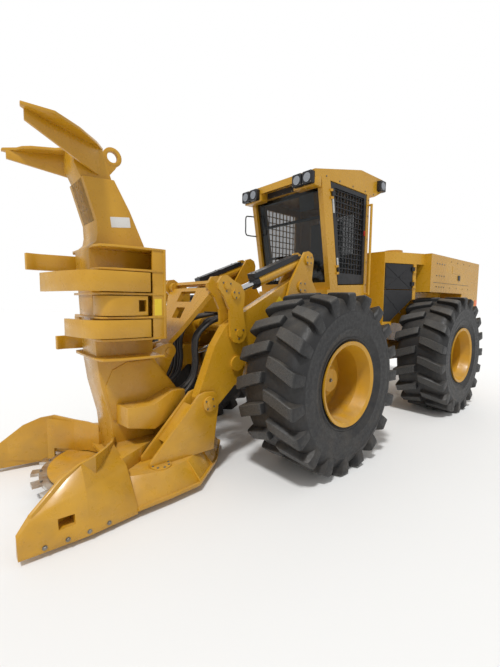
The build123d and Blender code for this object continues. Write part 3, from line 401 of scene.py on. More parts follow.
# Half of the casing from the bead to the middle of the tread: radius, distance from the middle
SIDEWALL = [(BEAD_R, 0.298), (0.42, 0.306), (0.436, 0.309), (0.447, 0.313), (0.455, 0.322), (0.466, 0.322),
            (0.474, 0.316), (0.5, 0.328), (0.545, 0.346), (0.552, 0.35), (0.566, 0.3505), (0.573, 0.3485),
            (0.62, 0.357), (0.665, 0.359), (0.71, 0.357), (0.716, 0.3595), (0.73, 0.3585), (0.737, 0.354),
            (0.775, 0.342), (0.81, 0.32), (0.835, 0.294), (0.848, 0.26), (0.853, 0.2), (0.856, 0.1)]
# A lug from its inner end over the shoulder: top radius, top across, root radius, root across, half width
LUG_STATIONS = [(0.852, 0.012, 0.84, 0.012, 0.05), (0.906, 0.024, 0.84, 0.022, 0.053),
                (0.9094, 0.032, 0.84, 0.032, 0.056), (0.9096, 0.095, 0.84, 0.095, 0.06),
                (0.9096, 0.16, 0.84, 0.16, 0.062), (0.9096, 0.225, 0.835, 0.225, 0.063),
                (0.909, 0.285, 0.825, 0.27, 0.064), (0.907, 0.335, 0.805, 0.305, 0.065),
                (0.901, 0.352, 0.795, 0.32, 0.066), (0.888, 0.3615, 0.785, 0.328, 0.066),
                (0.865, 0.365, 0.77, 0.338, 0.064), (0.82, 0.3655, 0.75, 0.345, 0.06),
                (0.775, 0.364, 0.73, 0.35, 0.054), (0.744, 0.36, 0.715, 0.352, 0.046)]
LUG_LEAN = 0.06
LUG_REACH = (0.022, 0.34)
LUG_CURVE = 1.15
LUG_EDGE = 0.006
LUG_TOP_SHARE = 0.94
LUG_ROOT_SHARE = 1.12
# Grey painted on the lug tops, partly dust and partly a painted sheen, and the distances from the wheel's
# middle between which it comes in
LUG_TOP_DUST_AND_SHEEN = (0.115, 0.112, 0.105)
DUST_AND_SHEEN_FROM = 0.885
DUST_AND_SHEEN_TO = 0.915


def lug_shift(across):
    """How far round the tread a lug's middle line lies, at a distance from the tyre's middle."""
    start, reach = LUG_REACH
    share = min(max((across - start) / reach, 0.0), 1.0)
    return LUG_LEAN - 2 * LUG_LEAN * share ** LUG_CURVE


def lug(mesh, middle, row):
    """One lug, lofted along its stations; row is its side of the tread."""
    sections = []
    for top_r, top_y, root_r, root_y, half in LUG_STATIONS:
        top = half * LUG_TOP_SHARE
        root = half * LUG_ROOT_SHARE
        edge_r = top_r - LUG_EDGE
        edge_y = top_y - LUG_EDGE * 0.3
        points = []
        for u, r, y in ((-root, root_r, root_y), (-top, edge_r, edge_y), (-top + LUG_EDGE, top_r, top_y),
                        (top - LUG_EDGE, top_r, top_y), (top, edge_r, edge_y), (root, root_r, root_y)):
            turn = middle - (lug_shift(top_y) + u) / TYRE_R
            points.append(mesh.verts.new((r * sin(turn), row * y, r * cos(turn))))
        sections.append(points)
    for low, high in zip(sections, sections[1:]):
        for k in range(len(low) - 1):
            mesh.faces.new((low[k], low[k + 1], high[k + 1], high[k]))
    mesh.faces.new(sections[0])
    mesh.faces.new(list(reversed(sections[-1])))


def tyre_mesh(side):
    """A tyre about the origin, its lugs slanted for one side of the machine."""
    mesh = bmesh.new()
    profile = [(BEAD_R, -BEAD_DEPTH)] + [(r, -y) for r, y in SIDEWALL] + [(MIDDLE_R, 0.0)]
    profile += [(r, y) for r, y in reversed(SIDEWALL)] + [(BEAD_R, BEAD_DEPTH)]
    turns = [LUG_STEP * k / 6 for k in range(LUGS * 6)]
    rings = [[mesh.verts.new((r * sin(turn), y, r * cos(turn))) for turn in turns] for r, y in profile]
    skin(mesh, rings + rings[:1], capped=False)
    for row, first in ((1, 0), (-1, 0.5)):
        for number in range(LUGS):
            lug(mesh, LUG_STEP * (number + first), row)
    bmesh.ops.scale(mesh, vec=(1, side, 1), verts=mesh.verts)
    bmesh.ops.recalc_face_normals(mesh, faces=mesh.faces)
    data = bpy.data.meshes.new("tyre_left" if side > 0 else "tyre_right")
    mesh.to_mesh(data)
    mesh.free()
    data.shade_smooth()
    data.set_sharp_from_angle(angle=TYRE_SHARP_ANGLE)
    data.materials.append(rubber)
    return data


rubber = finish("tyre_rubber", (0.011, 0.011, 0.012), (0.018, 0.018, 0.018), 0.5, patch=4.0, grain=300.0,
                bump=0.22, dust=0.16, mud=0.16)
tree = rubber.node_tree
paint_socket = tree.nodes["Principled BSDF"].inputs["Base Color"]
split = add(tree, "ShaderNodeSeparateXYZ")
tree.links.new(add(tree, "ShaderNodeTexCoord").outputs["Object"], split.inputs["Vector"])
flat_place = add(tree, "ShaderNodeCombineXYZ")
for letter in "XZ":
    tree.links.new(split.outputs[letter], flat_place.inputs[letter])
reach = add(tree, "ShaderNodeVectorMath", operation="LENGTH")
tree.links.new(flat_place.outputs["Vector"], reach.inputs[0])
# The lug tops are painted grey in fine speckles: partly dust, partly a painted sheen.
dust_and_sheen_on_tops = times(tree, spread(tree, reach.outputs["Value"], DUST_AND_SHEEN_FROM, DUST_AND_SHEEN_TO),
                spread(tree, noise(tree, 150, 10), 0.3, 0.72))
tree.links.new(blend(tree, dust_and_sheen_on_tops, paint_socket.links[0].from_socket, LUG_TOP_DUST_AND_SHEEN), paint_socket)
# Each wheel: its name, place along the machine, side
WHEELS = [("front_left", 0.0, 1), ("front_right", 0.0, -1), ("rear_left", REAR_AXLE, 1),
          ("rear_right", REAR_AXLE, -1)]
tyre_meshes = {side: tyre_mesh(side) for side in (1, -1)}
for wheel, along, side in WHEELS:
    tyre = bpy.data.objects.new("forestry_tyre_" + wheel, tyre_meshes[side])
    tyre.location = (AXLE_X + along, side * WHEEL_Y, WHEEL_Z)
    bpy.context.scene.collection.objects.link(tyre)
    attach(tyre, "wheel_" + wheel)
    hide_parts("tyre_" + wheel)

# Rims: rolled and welded steel, painted like the machine, held on each hub by a ring of wheel nuts.
# The planetary cover at the middle has its own ring of small screws, and the valve stands near the rim.
# The rings of nuts and of the cover's screws: distance out from the wheel's middle, radius, count, size
WHEEL_RINGS = [(-0.048, 0.235, 16, 0.015), (0.03, 0.152, 12, 0.009)]
COVER_PLUG = (0.095, 0.016)
VALVE_R = 0.33
VALVE_TURN = 0.7
VALVE_DEPTH = 0.1
VALVE = [(0.006, 0), (0.006, 0.03), (0.0045, 0.032), (0.0045, 0.045)]
rim_paint = finish("rim_paint", PAINT_YELLOW, PAINT_YELLOW_FADED, 0.36, dust=0.35, mud=0.35, chips=0.15)
dress(rim_paint, *("rim_" + wheel for wheel, along, side in WHEELS))
for wheel, along, side in WHEELS:
    centre = Vector((AXLE_X + along, side * WHEEL_Y, WHEEL_Z))
    out = Vector((0, side, 0))
    nuts = bmesh.new()
    for depth, ring, count, size in WHEEL_RINGS:
        bolt_ring(nuts, centre + out * depth, out, ring, count, size)
    bolt(nuts, centre + out * COVER_PLUG[0], out, COVER_PLUG[1])
    spin(nuts, centre + Vector((VALVE_R * cos(VALVE_TURN), side * VALVE_DEPTH, VALVE_R * sin(VALVE_TURN))),
         (0.1, side, 0.1), VALVE, 10)
    place_piece(nuts, "wheel_nuts_" + wheel, bolt_steel, "wheel_" + wheel)

# Hydraulic cylinders: honed tubes with chromed rods. The tilt barrels are yellow under folded black
# trays that are bolted on against falling wood; the others are dark tubes with steel pipes along them.
CHARCOAL = (0.0085, 0.009, 0.011)
CHARCOAL_FADED = (0.014, 0.0145, 0.017)
TILT_FOOT = (-0.32, 0.53, 2.22)
TILT_HEAD = (0.79, 0.53, 1.79)
# The sleeve's outline: radius, distance from the foot's pin
SLEEVE = [(0.0572, 0.075), (0.0612, 0.085), (0.0612, 0.785), (0.0572, 0.789)]
TRAY_RISE = 0.106
TRAY_BOLT_PLACES = (0.2, 0.5, 0.8)
TRAY_BOLT_ACROSS = 0.036
TRAY_BOLT = 0.009
LIFT_FOOT = (-0.5, 0.35, 1.3)
LIFT_HEAD = (0.74, 0.35, 1.08)
PIPE_R = 0.009
PIPE_ACROSS = 0.03
# The pipe's line: distance from the foot's pin, distance above the tube's middle, share of its place across
PIPE_LINE = [(0.12, 0.08, 1.0), (0.4, 0.08, 1.0), (0.8, 0.08, 1.0), (0.845, 0.066, 0.6)]
CLIP_PLACES = (0.3, 0.62)
CLIP_RISE = 0.066


def cylinder_frame(foot, head, s):
    """Where a cylinder's foot is on one side, which way it runs, and which way is up from it."""
    foot = Vector((AXLE_X + foot[0], s * foot[1], foot[2]))
    way = (Vector((AXLE_X + head[0], s * head[1], head[2])) - foot).normalized()
    return foot, way, Vector((-way.z, 0, way.x))


charcoal = finish("charcoal_paint", CHARCOAL, CHARCOAL_FADED, 0.36, dust=0.1, mud=0.15, chips=0.08,
                  grain=160.0)
dress(charcoal, "lift_barrels", "tilt_barrels", "steer_barrel_left", "steer_barrel_right")
chrome = finish("chrome_rod", (0.78, 0.79, 0.8), (0.66, 0.67, 0.68), 0.1, metal=1.0, grain=400.0, bump=0.02,
                dust=0.04, mud=0.05, rough_spread=0.08)
dress(chrome, "tilt_rods", "lift_rods", "steer_rod_left", "steer_rod_right")
sleeves = bmesh.new()
tray_bolts = bmesh.new()
pipes = bmesh.new()
for s in (1, -1):
    foot, way, rise = cylinder_frame(TILT_FOOT, TILT_HEAD, s)
    spin(sleeves, foot, way, SLEEVE, 40)
    for along in TRAY_BOLT_PLACES:
        for across in (TRAY_BOLT_ACROSS, -TRAY_BOLT_ACROSS):
            bolt(tray_bolts, foot + way * along + rise * TRAY_RISE + Vector((0, across, 0)), rise, TRAY_BOLT)
    foot, way, rise = cylinder_frame(LIFT_FOOT, LIFT_HEAD, s)
    inward = Vector((0, -s * PIPE_ACROSS, 0))
    hose(pipes, [foot + way * along + rise * height + inward * share for along, height, share in PIPE_LINE],
         PIPE_R)
    for along in CLIP_PLACES:
        slab(pipes, foot + way * along + rise * CLIP_RISE + inward, way, LEFT, 0.03, 0.05, 0.024, 0.004)
place_piece(sleeves, "tilt_barrel_sleeves", yellow, "tilt_barrels")
place_piece(tray_bolts, "tilt_tray_bolts", bolt_steel, "tilt_barrels")
place_piece(pipes, "lift_cylinder_pipes", bolt_steel, "lift_barrels")

# Lift arms, bell cranks and tilt link: thick profiled plates joined by cross tubes, cut from steel and
# painted, each arm with a blank yellow label on its outer face.
LABEL_THICK = 0.0012
# Ahead of the axle, across, height, climb per metre along it, length, height, thickness, corner
ARM_LABEL = (0.14, 0.5851, 1.7, 1.25, 0.16, 0.075, LABEL_THICK, 0.006)


def side_plates(name, material, body, plates):
    """A piece of thin plates on both sides, each given as the arm's label is."""
    mesh = bmesh.new()
    for s in (1, -1):
        for x, y, z, climb, length, height, thick, corner in plates:
            slab(mesh, (AXLE_X + x, s * y, z), (-s, 0, climb), UP, length, height, thick, corner)
    place_piece(mesh, name, material, body)


dress(yellow, "lift_arms", "bell_cranks", "tilt_link")
label_yellow = finish("label_yellow", (0.8, 0.56, 0.02), (0.74, 0.52, 0.03), 0.28, dust=0.1, chips=0.1,
                      grain=60.0, bump=0.01)
side_plates("arm_labels", label_yellow, "lift_arms", [ARM_LABEL])

# Hoses of the saw head: rubber hoses that leave the front frame, cross the arms' tube in two bundles held by
# clamps, hang in a loop behind the tilt link and end at the drive's covers.
# Each hose: distance out from the middle, radius
HOSES = [(0.3, 0.019), (0.258, 0.016), (0.218, 0.019), (0.178, 0.016), (0.138, 0.019)]
# The bundle's line: ahead of the axle, height
HOSE_LINE = [(0.03, 1.42), (0.22, 1.5), (0.42, 1.56), (0.58, 1.555), (0.79, 1.515), (0.915, 1.457),
             (1.007, 1.357), (1.035, 1.225), (1.028, 1.06), (1.08, 0.88), (1.215, 0.745)]
# Between these distances ahead of the axle the inner hoses hang further back
LOOP_FROM = 0.9
LOOP_TO = 1.2
LOOP_LAG = 0.35
SWAY = 0.014
NARROW_FROM = 1.0
NARROWED = 0.94
CLAMP_PLACE = (0.5, 0.219, 1.5805)
hose_rubber = finish("hose_rubber", (0.014, 0.014, 0.015), (0.024, 0.023, 0.022), 0.5, grain=500.0, bump=0.3,
                     dust=0.2, mud=0.3)
bundle = bmesh.new()
clamps = bmesh.new()
for s in (1, -1):
    for across, radius in HOSES:
        lag = (across - HOSES[0][0]) * LOOP_LAG
        sway = SWAY * sin(across * 60 + s)
        hose(bundle, [(AXLE_X + x + (lag if LOOP_FROM < x < LOOP_TO else 0.0),
                       s * across * (1.0 if x < NARROW_FROM else NARROWED),
                       z + (sway if LOOP_FROM < x else 0.0)) for x, z in HOSE_LINE], radius, 14)
    slab(clamps, (AXLE_X + CLAMP_PLACE[0], s * CLAMP_PLACE[1], CLAMP_PLACE[2]), AHEAD, LEFT, 0.06, 0.23,
         0.01, 0.004)
hoses_piece = place_piece(bundle, "head_hoses", hose_rubber)
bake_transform(hoses_piece)
place_piece(clamps, "hose_clamps", charcoal, "lift_arms")

# Pin ends of the loader: turned steel caps on the pins, each held by a ring of keeper bolts so that the
# pin can't turn or walk out of its plates.
# Each pin: body, ahead of the axle, height, distance out, ring radius, number of bolts
PIN_ENDS = [("head", 1.11, 0.73, 0.648, 0.055, 4), ("bell_cranks", 0.74, 1.4, 0.6305, 0.06, 3),
            ("bell_cranks", 0.79, 1.79, 0.646, 0.034, 3), ("bell_cranks", 0.9, 1.87, 0.6305, 0.052, 3)]
PIN_BOLT = 0.0075
FIRST_PIN_BOLT = 0.6
for number, (body, x, z, out, ring, count) in enumerate(PIN_ENDS):
    bolts = bmesh.new()
    for s in (1, -1):
        bolt_ring(bolts, (AXLE_X + x, s * out, z), (0, s, 0), ring, count, PIN_BOLT, FIRST_PIN_BOLT)
    place_piece(bolts, "pin_end_bolts_%d" % number, bolt_steel, body)

# Saw head: heavy welded plate, painted like the carrier but rubbed by wood. The spine is a box post with a
# leaning neck, closed in front by shelves for the gathering arms; its foot spreads over the saw's drive.
DECK_Z = 0.27
SPINE_HALF = 0.2
NECK_HALF = 0.15
COLUMN_HALF = 0.45
CROWN_Z = 3.02
# Outlines seen from the side: ahead of the axle, height
SPINE_SIDE = [(1.19, DECK_Z), (1.87, DECK_Z), (1.9, 0.62), (1.98, 0.96), (2.01, 1.2), (2.051, 2.163),
              (1.985, 2.225), (1.972, 2.29), (1.976, 2.402), (2.079, 2.75), (1.817, 2.769), (1.681, 2.522),
              (1.543, 2.209), (1.48, 2.18), (1.48, 1.2), (1.44, 1.11), (1.24, 0.85), (1.19, 0.76)]
NECK_SIDE = [(1.976, 2.402), (2.079, 2.75), (2.13, 2.86), (2.13, 2.9), (2.13, CROWN_Z), (1.9, CROWN_Z),
             (1.86, 2.9), (1.817, 2.769), (1.681, 2.522)]
SIDE_COVER = [(1.24, 0.62), (1.885, 0.62), (1.945, 0.94), (1.88, 1.09), (1.74, 1.15), (1.5, 1.15),
              (1.4, 1.03), (1.24, 0.83)]
LINK_EAR = [(1.3, 0.96), (1.19, 1.19), (1.24, 1.285), (1.33, 1.275), (1.49, 1.21), (1.49, 0.96)]
SPINE_PLATES = [(SIDE_COVER, SPINE_HALF - 0.005, SPINE_HALF + 0.012), (LINK_EAR, 0.098, 0.128)]
LINK_PIN = (1.27, 1.2)
LINK_PIN_R = 0.038
LINK_PIN_HALF = 0.145
# The boss on each ear: where it starts across, radius, length
LINK_BOSS = (0.097, 0.084, 0.033)
# Outlines seen from above: ahead of the axle, across
SHELF = [(1.48, 0.45), (1.7, 0.45), (1.9, 0.43), (2.02, 0.39), (2.045, 0.3)]
POD = [(1.835, 0.195), (2.035, 0.195), (2.035, 0.35), (1.985, 0.415), (1.835, 0.415)]
FOOT_CURB = [(1.48, 0.19), (1.48, 0.3), (1.7, 0.42), (1.94, 0.56), (1.96, 0.42), (1.89, 0.19)]
FOOT_CURB_TOP = 0.4
# Each shelf: bottom and top
SHELVES = [(2.16, 2.18), (1.97, 1.99), (1.765, 1.785), (1.56, 1.58), (1.37, 1.39), (1.2, 1.22)]
# The column's plates stand between the fifth shelf and the first
COLUMN_BACK = 1.46
COLUMN_FRONT = 1.485
CHEEK_FRONT = 1.59
CHEEK = (0.425, 0.445)
# Layers that a fixed pod fills, counted from the top shelf
FIXED_LAYERS = {1: (0, 4), -1: (1, 2, 3)}
ARM_PLACE = 1.76
ARM_ACROSS = 0.36
TUBE_ROOM_R = 0.058
# The room of each arm's tube: side, bottom, top
TUBE_ROOMS = [(1, 1.3901, 1.9699), (-1, 1.2201, 2.1599)]
head_paint = finish("head_paint", (0.5, 0.25, 0.01), (0.57, 0.3, 0.02), 0.29, patch=2.4, dust=0.2, mud=0.16,
                    chips=0.12)
coat(head_paint, 0.2, 0.15)
dress(head_paint, "head_spine", "head_deck", "horn_left", "horn_right", "head_crown", "butt_plate",
      "drive_guard", "clamp_arm", "grab_arm")


def loft(mesh, sections):
    """A closed form between outlines with as many corners each."""
    return skin(mesh, [[mesh.verts.new(point) for point in section] for section in sections])


def flat(mesh, outline, low, high):
    """A plate that lies flat, its outline as (ahead of the axle, across)."""
    return loft(mesh, [[(AXLE_X + x, y, z) for x, y in outline] for z in (low, high)])


def upright(mesh, outline, y0, y1):
    """A plate that stands along the machine, its outline as (ahead of the axle, height)."""
    return loft(mesh, [[(AXLE_X + x, y, z) for x, z in outline] for y in (y0, y1)])


def block(mesh, xs, ys, zs):
    """A plain block between two places ahead of the axle, two across and two heights."""
    x0, x1 = xs
    y0, y1 = sorted(ys)
    return flat(mesh, [(x0, y0), (x1, y0), (x1, y1), (x0, y1)], *zs)


def both_sides(outline):
    """An outline of (ahead of the axle, across) from its left half."""
    return outline + [(x, -y) for x, y in reversed(outline)]


def head_piece(mesh, name, width, *tools):
    """A piece of the head, cut with each tool; the last cut and the rounding are one step."""
    piece = place_piece(mesh, name, head_paint, "head")
    for tool in tools[:-1]:
        settle(piece, 0.0, tool)
    settle(piece, width, tools[-1] if tools else None)
    return piece


def one_side(outline, s):
    """An outline of (ahead of the axle, across), put on one side."""
    return [(x, s * y) for x, y in outline]


spine = bmesh.new()
upright(spine, SPINE_SIDE, -SPINE_HALF, SPINE_HALF)
upright(spine, NECK_SIDE, -NECK_HALF, NECK_HALF)
shelves = bmesh.new()
for low, high in SHELVES:
    flat(shelves, both_sides(SHELF), low, high)
column = (SHELVES[4][0], SHELVES[0][1])
block(shelves, (COLUMN_BACK, COLUMN_FRONT), (-COLUMN_HALF, COLUMN_HALF), column)
for s in (1, -1):
    for outline, y0, y1 in SPINE_PLATES:
        upright(spine, outline, s * y0, s * y1)
    start, radius, length = LINK_BOSS
    rod(spine, (AXLE_X + LINK_PIN[0], s * start, LINK_PIN[1]), (0, s, 0), radius, length)
    flat(spine, one_side(FOOT_CURB, s), DECK_Z, FOOT_CURB_TOP)
    block(shelves, (COLUMN_BACK, CHEEK_FRONT), (s * CHEEK[0], s * CHEEK[1]), column)
    for layer in FIXED_LAYERS[s]:
        flat(shelves, one_side(POD, s), SHELVES[layer + 1][1], SHELVES[layer][0])
rod(spine, (AXLE_X + LINK_PIN[0], -LINK_PIN_HALF, LINK_PIN[1]), LEFT, LINK_PIN_R, 2 * LINK_PIN_HALF, 24)
spine_piece = head_piece(spine, "spine_post", 0.006)
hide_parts("head_spine")
tube_rooms = [rod(bmesh.new(), (AXLE_X + ARM_PLACE, s * ARM_ACROSS, low), UP, TUBE_ROOM_R, high - low)
              for s, low, high in TUBE_ROOMS]
head_piece(shelves, "spine_shelves", 0.003, *tube_rooms, None)

# Deck: the saw's housing, a low box with sloped walls on a flanged floor, welded from plate; ribs stiffen
# the walls and two pairs of fins carry the head's pins. Bolted round covers close its corners.
LIP = [(1.93, 0.82), (1.66, 0.82), (1.35, 0.8), (0.94, 0.49), (0.63, 0.12)]
LIP_Z = 0.09
DECK = [(1.93, 0.64), (1.66, 0.745), (1.375, 0.68), (1.135, 0.53), (0.8, 0.13)]
FLANGE = [(1.93, 0.842), (1.649, 0.842), (1.339, 0.822), (0.929, 0.512), (0.619, 0.142)]
FLANGE_Z = (0.06, 0.0905)
SAW_X = 1.8
# The saw's room in the housing: radius, height
SAW_ROOM = [(0.735, 0.092), (0.735, 0.168), (0.61, 0.168), (0.61, 0.235)]
# The saw's way out to the mouth
SAW_WAY = ((SAW_X, 2.0), (-0.695, 0.695), (0.08, 0.168))
# The round cut in the floor: ahead of the axle, radius, height
FLOOR_CUT = (2.06, 0.64, 0.13)
FIN = [(1.73, 0.265), (1.73, 0.31), (1.225, 0.83), (1.15, 0.85), (1.05, 0.84), (1.0, 0.79), (1.0, 0.69),
       (1.04, 0.42), (1.06, 0.265)]
FIN_COVER = [(1.56, 0.44), (1.29, 0.742), (1.276, 0.73), (1.546, 0.428)]
FIN_PLATES = [(FIN, 0.43, 0.46), (FIN, 0.6, 0.63), (FIN_COVER, 0.435, 0.625)]
HEAD_PIN = (1.11, 0.73)
# The pin and its cap: where it starts across, radius, length, sides
HEAD_PIN_ROUNDS = [(0.43, 0.038, 0.225, 24), (0.6295, 0.076, 0.0185, 36)]
CORNER_COVER = (1.63, 0.63)
COVER_R = 0.095
COVER_FOOT = 0.265
COVER_TOP = 0.282
COVER_BOLT_RING = 0.075
COVER_BOLT = 0.0085
# Each rib of the walls: its top and foot, as ahead of the axle and across
WALL_RIBS = [((1.386, 0.692), (1.33, 0.815)), ((1.147, 0.549), (1.05, 0.6))]
RIB_TOP = DECK_Z - 0.003
RIB_FOOT = 0.088
RIB_DEPTH = 0.06
RIB_HALF = 0.009
# Bolts along the horns' outer edges: ahead of the axle, across
EDGE_BOLTS = [(2.16, 0.853), (2.3, 0.8625), (2.44, 0.857), (2.58, 0.8485)]
EDGE_BOLT_Z = 0.075
EDGE_BOLT = 0.012
deck = bmesh.new()
loft(deck, [[(AXLE_X + x, y, z) for x, y in both_sides(line)] for line, z in ((LIP, LIP_Z), (DECK, DECK_Z))])
saw_room = spin(bmesh.new(), (AXLE_X + SAW_X, 0, 0), UP, SAW_ROOM, 64)
deck_piece = head_piece(deck, "saw_housing", 0.003, saw_room, block(bmesh.new(), *SAW_WAY))
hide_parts("head_deck")
fins = bmesh.new()
for s in (1, -1):
    for outline, y0, y1 in FIN_PLATES:
        upright(fins, outline, s * y0, s * y1)
    for start, radius, length, count in HEAD_PIN_ROUNDS:
        rod(fins, (AXLE_X + HEAD_PIN[0], s * start, HEAD_PIN[1]), (0, s, 0), radius, length, count)
    rod(fins, (AXLE_X + CORNER_COVER[0], s * CORNER_COVER[1], COVER_FOOT), UP, COVER_R,
        COVER_TOP - COVER_FOOT, 36)
    for (top_x, top_y), (foot_x, foot_y) in WALL_RIBS:
        rib = [(top_x, top_y - RIB_DEPTH, RIB_TOP), (top_x, top_y, RIB_TOP), (foot_x, foot_y, 0.1),
               (foot_x, foot_y, RIB_FOOT), (top_x, top_y - RIB_DEPTH, RIB_FOOT)]
        along = Vector((top_y - foot_y, foot_x - top_x, 0)).normalized() * RIB_HALF
        loft(fins, [[(AXLE_X + x + sign * along.x, s * (y + sign * along.y), z) for x, y, z in rib]
                    for sign in (-1, 1)])
head_piece(fins, "deck_fins", 0.003)
x, radius, height = FLOOR_CUT
head_piece(flat(bmesh.new(), both_sides(FLANGE), *FLANGE_Z), "deck_flange", 0.003,
           rod(bmesh.new(), (AXLE_X + x, 0, 0), UP, radius, height, 64))
bolts = bmesh.new()
for s in (1, -1):
    bolt_ring(bolts, (AXLE_X + CORNER_COVER[0], s * CORNER_COVER[1], COVER_TOP), UP, COVER_BOLT_RING, 8,
              COVER_BOLT)
    for x, y in EDGE_BOLTS:
        bolt(bolts, (AXLE_X + x, s * y, EDGE_BOLT_Z), (0, s, 0.1), EDGE_BOLT)
place_piece(bolts, "deck_bolts", bolt_steel, "head")

# Horns: the two gathering points beside the saw, each a sloped shell of bent plate welded against a tall
# curved guide wall, with a slot in its side.
# Each section: ahead of the axle, inner across, inner top, crease across, crease top, outer across, outer top
HORN_SECTIONS = [(1.93, 0.33, 0.455, 0.62, 0.36, 0.835, 0.095), (2.3, 0.7, 0.505, 0.8, 0.36, 0.862, 0.095),
                 (2.66, 0.765, 0.285, 0.8, 0.255, 0.842, 0.062),
                 (2.73, 0.775, 0.19, 0.8, 0.17, 0.836, 0.058)]
HORN_FLOOR = 0.04
# The blade's room in the horns: radius, height above its floor
BLADE_ROOM = (0.732, 0.15)
BLADE_ROOM_Z = 0.03
MOUTH = [(1.9, 0.2), (2.0, 0.33), (2.33, 0.69), (2.33, 0), (1.9, 0)]
MOUTH_Z = (-0.01, 0.175)
# The slot: ahead of the axle, across, height
SLOT = ((2.385, 2.49), (0.6, 0.9), (0.15, 0.222))
# The guide wall's outer line: ahead of the axle, across, bottom, top
GUIDE = [(1.89, 0.19, 0.18, 0.466), (1.96, 0.33, 0.18, 0.478), (2.05, 0.45, 0.165, 0.49),
         (2.2, 0.64, 0.1, 0.522), (2.32, 0.675, 0.068, 0.51), (2.46, 0.715, 0.085, 0.455),
         (2.66, 0.772, 0.118, 0.295)]
GUIDE_BACK = 0.02
GUIDE_OUT = 0.015
for name, s in (("horn_left", 1), ("horn_right", -1)):
    shell = bmesh.new()
    loft(shell, [[(AXLE_X + x, s * y, z) for y, z in (
        (inner, HORN_FLOOR), (inner, inner_z), (crease, crease_z), (outer, outer_z), (outer, HORN_FLOOR))]
                 for x, inner, inner_z, crease, crease_z, outer, outer_z in HORN_SECTIONS])
    along, across, heights = SLOT
    horn = head_piece(shell, name + "_shell", 0.004,
                      rod(bmesh.new(), (AXLE_X + SAW_X, 0, BLADE_ROOM_Z), UP, *BLADE_ROOM, 96),
                      flat(bmesh.new(), one_side(MOUTH, s), *MOUTH_Z),
                      block(bmesh.new(), along, [s * y for y in across], heights))
    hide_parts(name)
    guide = bmesh.new()
    loft(guide, [[(AXLE_X + x, s * y, low), (AXLE_X + x, s * y, high),
                  (AXLE_X + x - GUIDE_BACK, s * (y + GUIDE_OUT), high),
                  (AXLE_X + x - GUIDE_BACK, s * (y + GUIDE_OUT), low)] for x, y, low, high in GUIDE])
    head_piece(guide, name + "_guide", 0.003)

# Drive guard: a bent box each side of the spine's foot, over the saw's drive, welded from folded plate
# against the spine and painted with it.
# Each section: ahead of the axle, outer across, bottom, top
GUARD_SECTIONS = [(1.2, 0.33, 0.62, 0.83), (1.35, 0.363, 0.588, 0.85), (1.58, 0.425, 0.53, 0.762),
                  (1.82, 0.4, 0.583, 0.769), (1.85, 0.235, 0.59, 0.77)]
GUARD_INNER = 0.205
guards = bmesh.new()
for s in (1, -1):
    loft(guards, [[(AXLE_X + x, s * across, z) for across, z in (
        (GUARD_INNER, low), (GUARD_INNER, high), (y, high), (y, low))] for x, y, low, high in GUARD_SECTIONS])
guard_piece = head_piece(guards, "drive_covers", 0.005)
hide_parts("drive_guard")

# Crown: a thick plate cut as two horns in a V on the neck, each stiffened by an upright web, with a lifting
# eye welded on a stem behind it.
CROWN_THICK = 0.025
HORN_TOP = [(1.88, 0.12), (1.96, 0.225), (2.14, 0.39), (2.34, 0.52), (2.55, 0.505), (2.545, 0.465),
            (2.45, 0.375), (2.42, 0.31), (2.36, 0.25), (2.19, 0.15), (2.12, 0.06)]
# The web's outline on its inner face: ahead of the axle, across, height
WEB = [(1.9, 0.11, 2.79), (1.96, 0.144, 2.8), (2.52, 0.434, 2.95), (2.52, 0.434, CROWN_Z + 0.005),
       (1.9, 0.11, CROWN_Z + 0.005)]
WEB_THICK = 0.028
EYE_STEM = [(1.7, 3.0), (1.735, 2.93), (1.815, 2.83), (1.88, 2.88), (1.99, 3.015), (1.99, 3.025),
            (1.85, 3.06)]
STEM_HALF = 0.0195
EYE = (1.76, 3.03)
EYE_R = 0.086
EYE_HALF = 0.02
crown = flat(bmesh.new(), both_sides(HORN_TOP), CROWN_Z, CROWN_Z + CROWN_THICK)
for s in (1, -1):
    loft(crown, [[(AXLE_X + x, s * (y + shift), z) for x, y, z in WEB] for shift in (0, WEB_THICK)])
crown_piece = head_piece(crown, "crown_plate", 0.004)
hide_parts("head_crown")
eye = rod(bmesh.new(), (AXLE_X + EYE[0], -EYE_HALF, EYE[1]), LEFT, EYE_R, 2 * EYE_HALF, 40)
stem = upright(bmesh.new(), EYE_STEM, -STEM_HALF, STEM_HALF)
for mesh, name, bore, width in ((eye, "lifting_eye", 0.048, 0.004), (stem, "eye_stem", 0.052, 0.0)):
    head_piece(mesh, name, width, rod(bmesh.new(), (AXLE_X + EYE[0], -0.05, EYE[1]), LEFT, bore, 0.1, 40))

# Gathering arms: two arms on upright pins, each with bands rolled from thick plate and welded to its tube.
# The left one, the clamp, closes in front of the right one, and its middle band has a window over the pin.
BAND_THICK = 0.04
ARM_TUBE_R = 0.0518
LUG_PLATE = (1.716, 1.849)
LUG_PLATE_OUT = 0.439
LUG_PLATE_GAP = 0.002
# The window: ahead of the axle, across, height
WINDOW = ((1.655, 1.725), (0.38, 0.52), (1.622, 1.722))
BEND_SHARE = 0.48
# Each band: its outer line (ahead of the axle, across), bottom and top
CLAMP_BANDS = [([(1.62, 0.47), (2.04, 0.455), (2.15, 0.38), (2.25, 0.12), (2.33, -0.3)],
                1.793, 1.962),
               ([(1.64, 0.455), (1.94, 0.445), (2.02, 0.38), (2.04, 0.24)], 1.588, 1.757),
               ([(1.62, 0.47), (2.0, 0.455), (2.1, 0.36), (2.16, 0.15), (2.19, -0.09)],
                1.398, 1.552)]
GRAB_BANDS = [([(1.62, 0.47), (2.05, 0.49), (2.29, 0.53), (2.41, 0.5)], 1.998, 2.152),
              ([(1.62, 0.47), (1.93, 0.48), (2.09, 0.52), (2.18, 0.5)], 1.228, 1.362)]
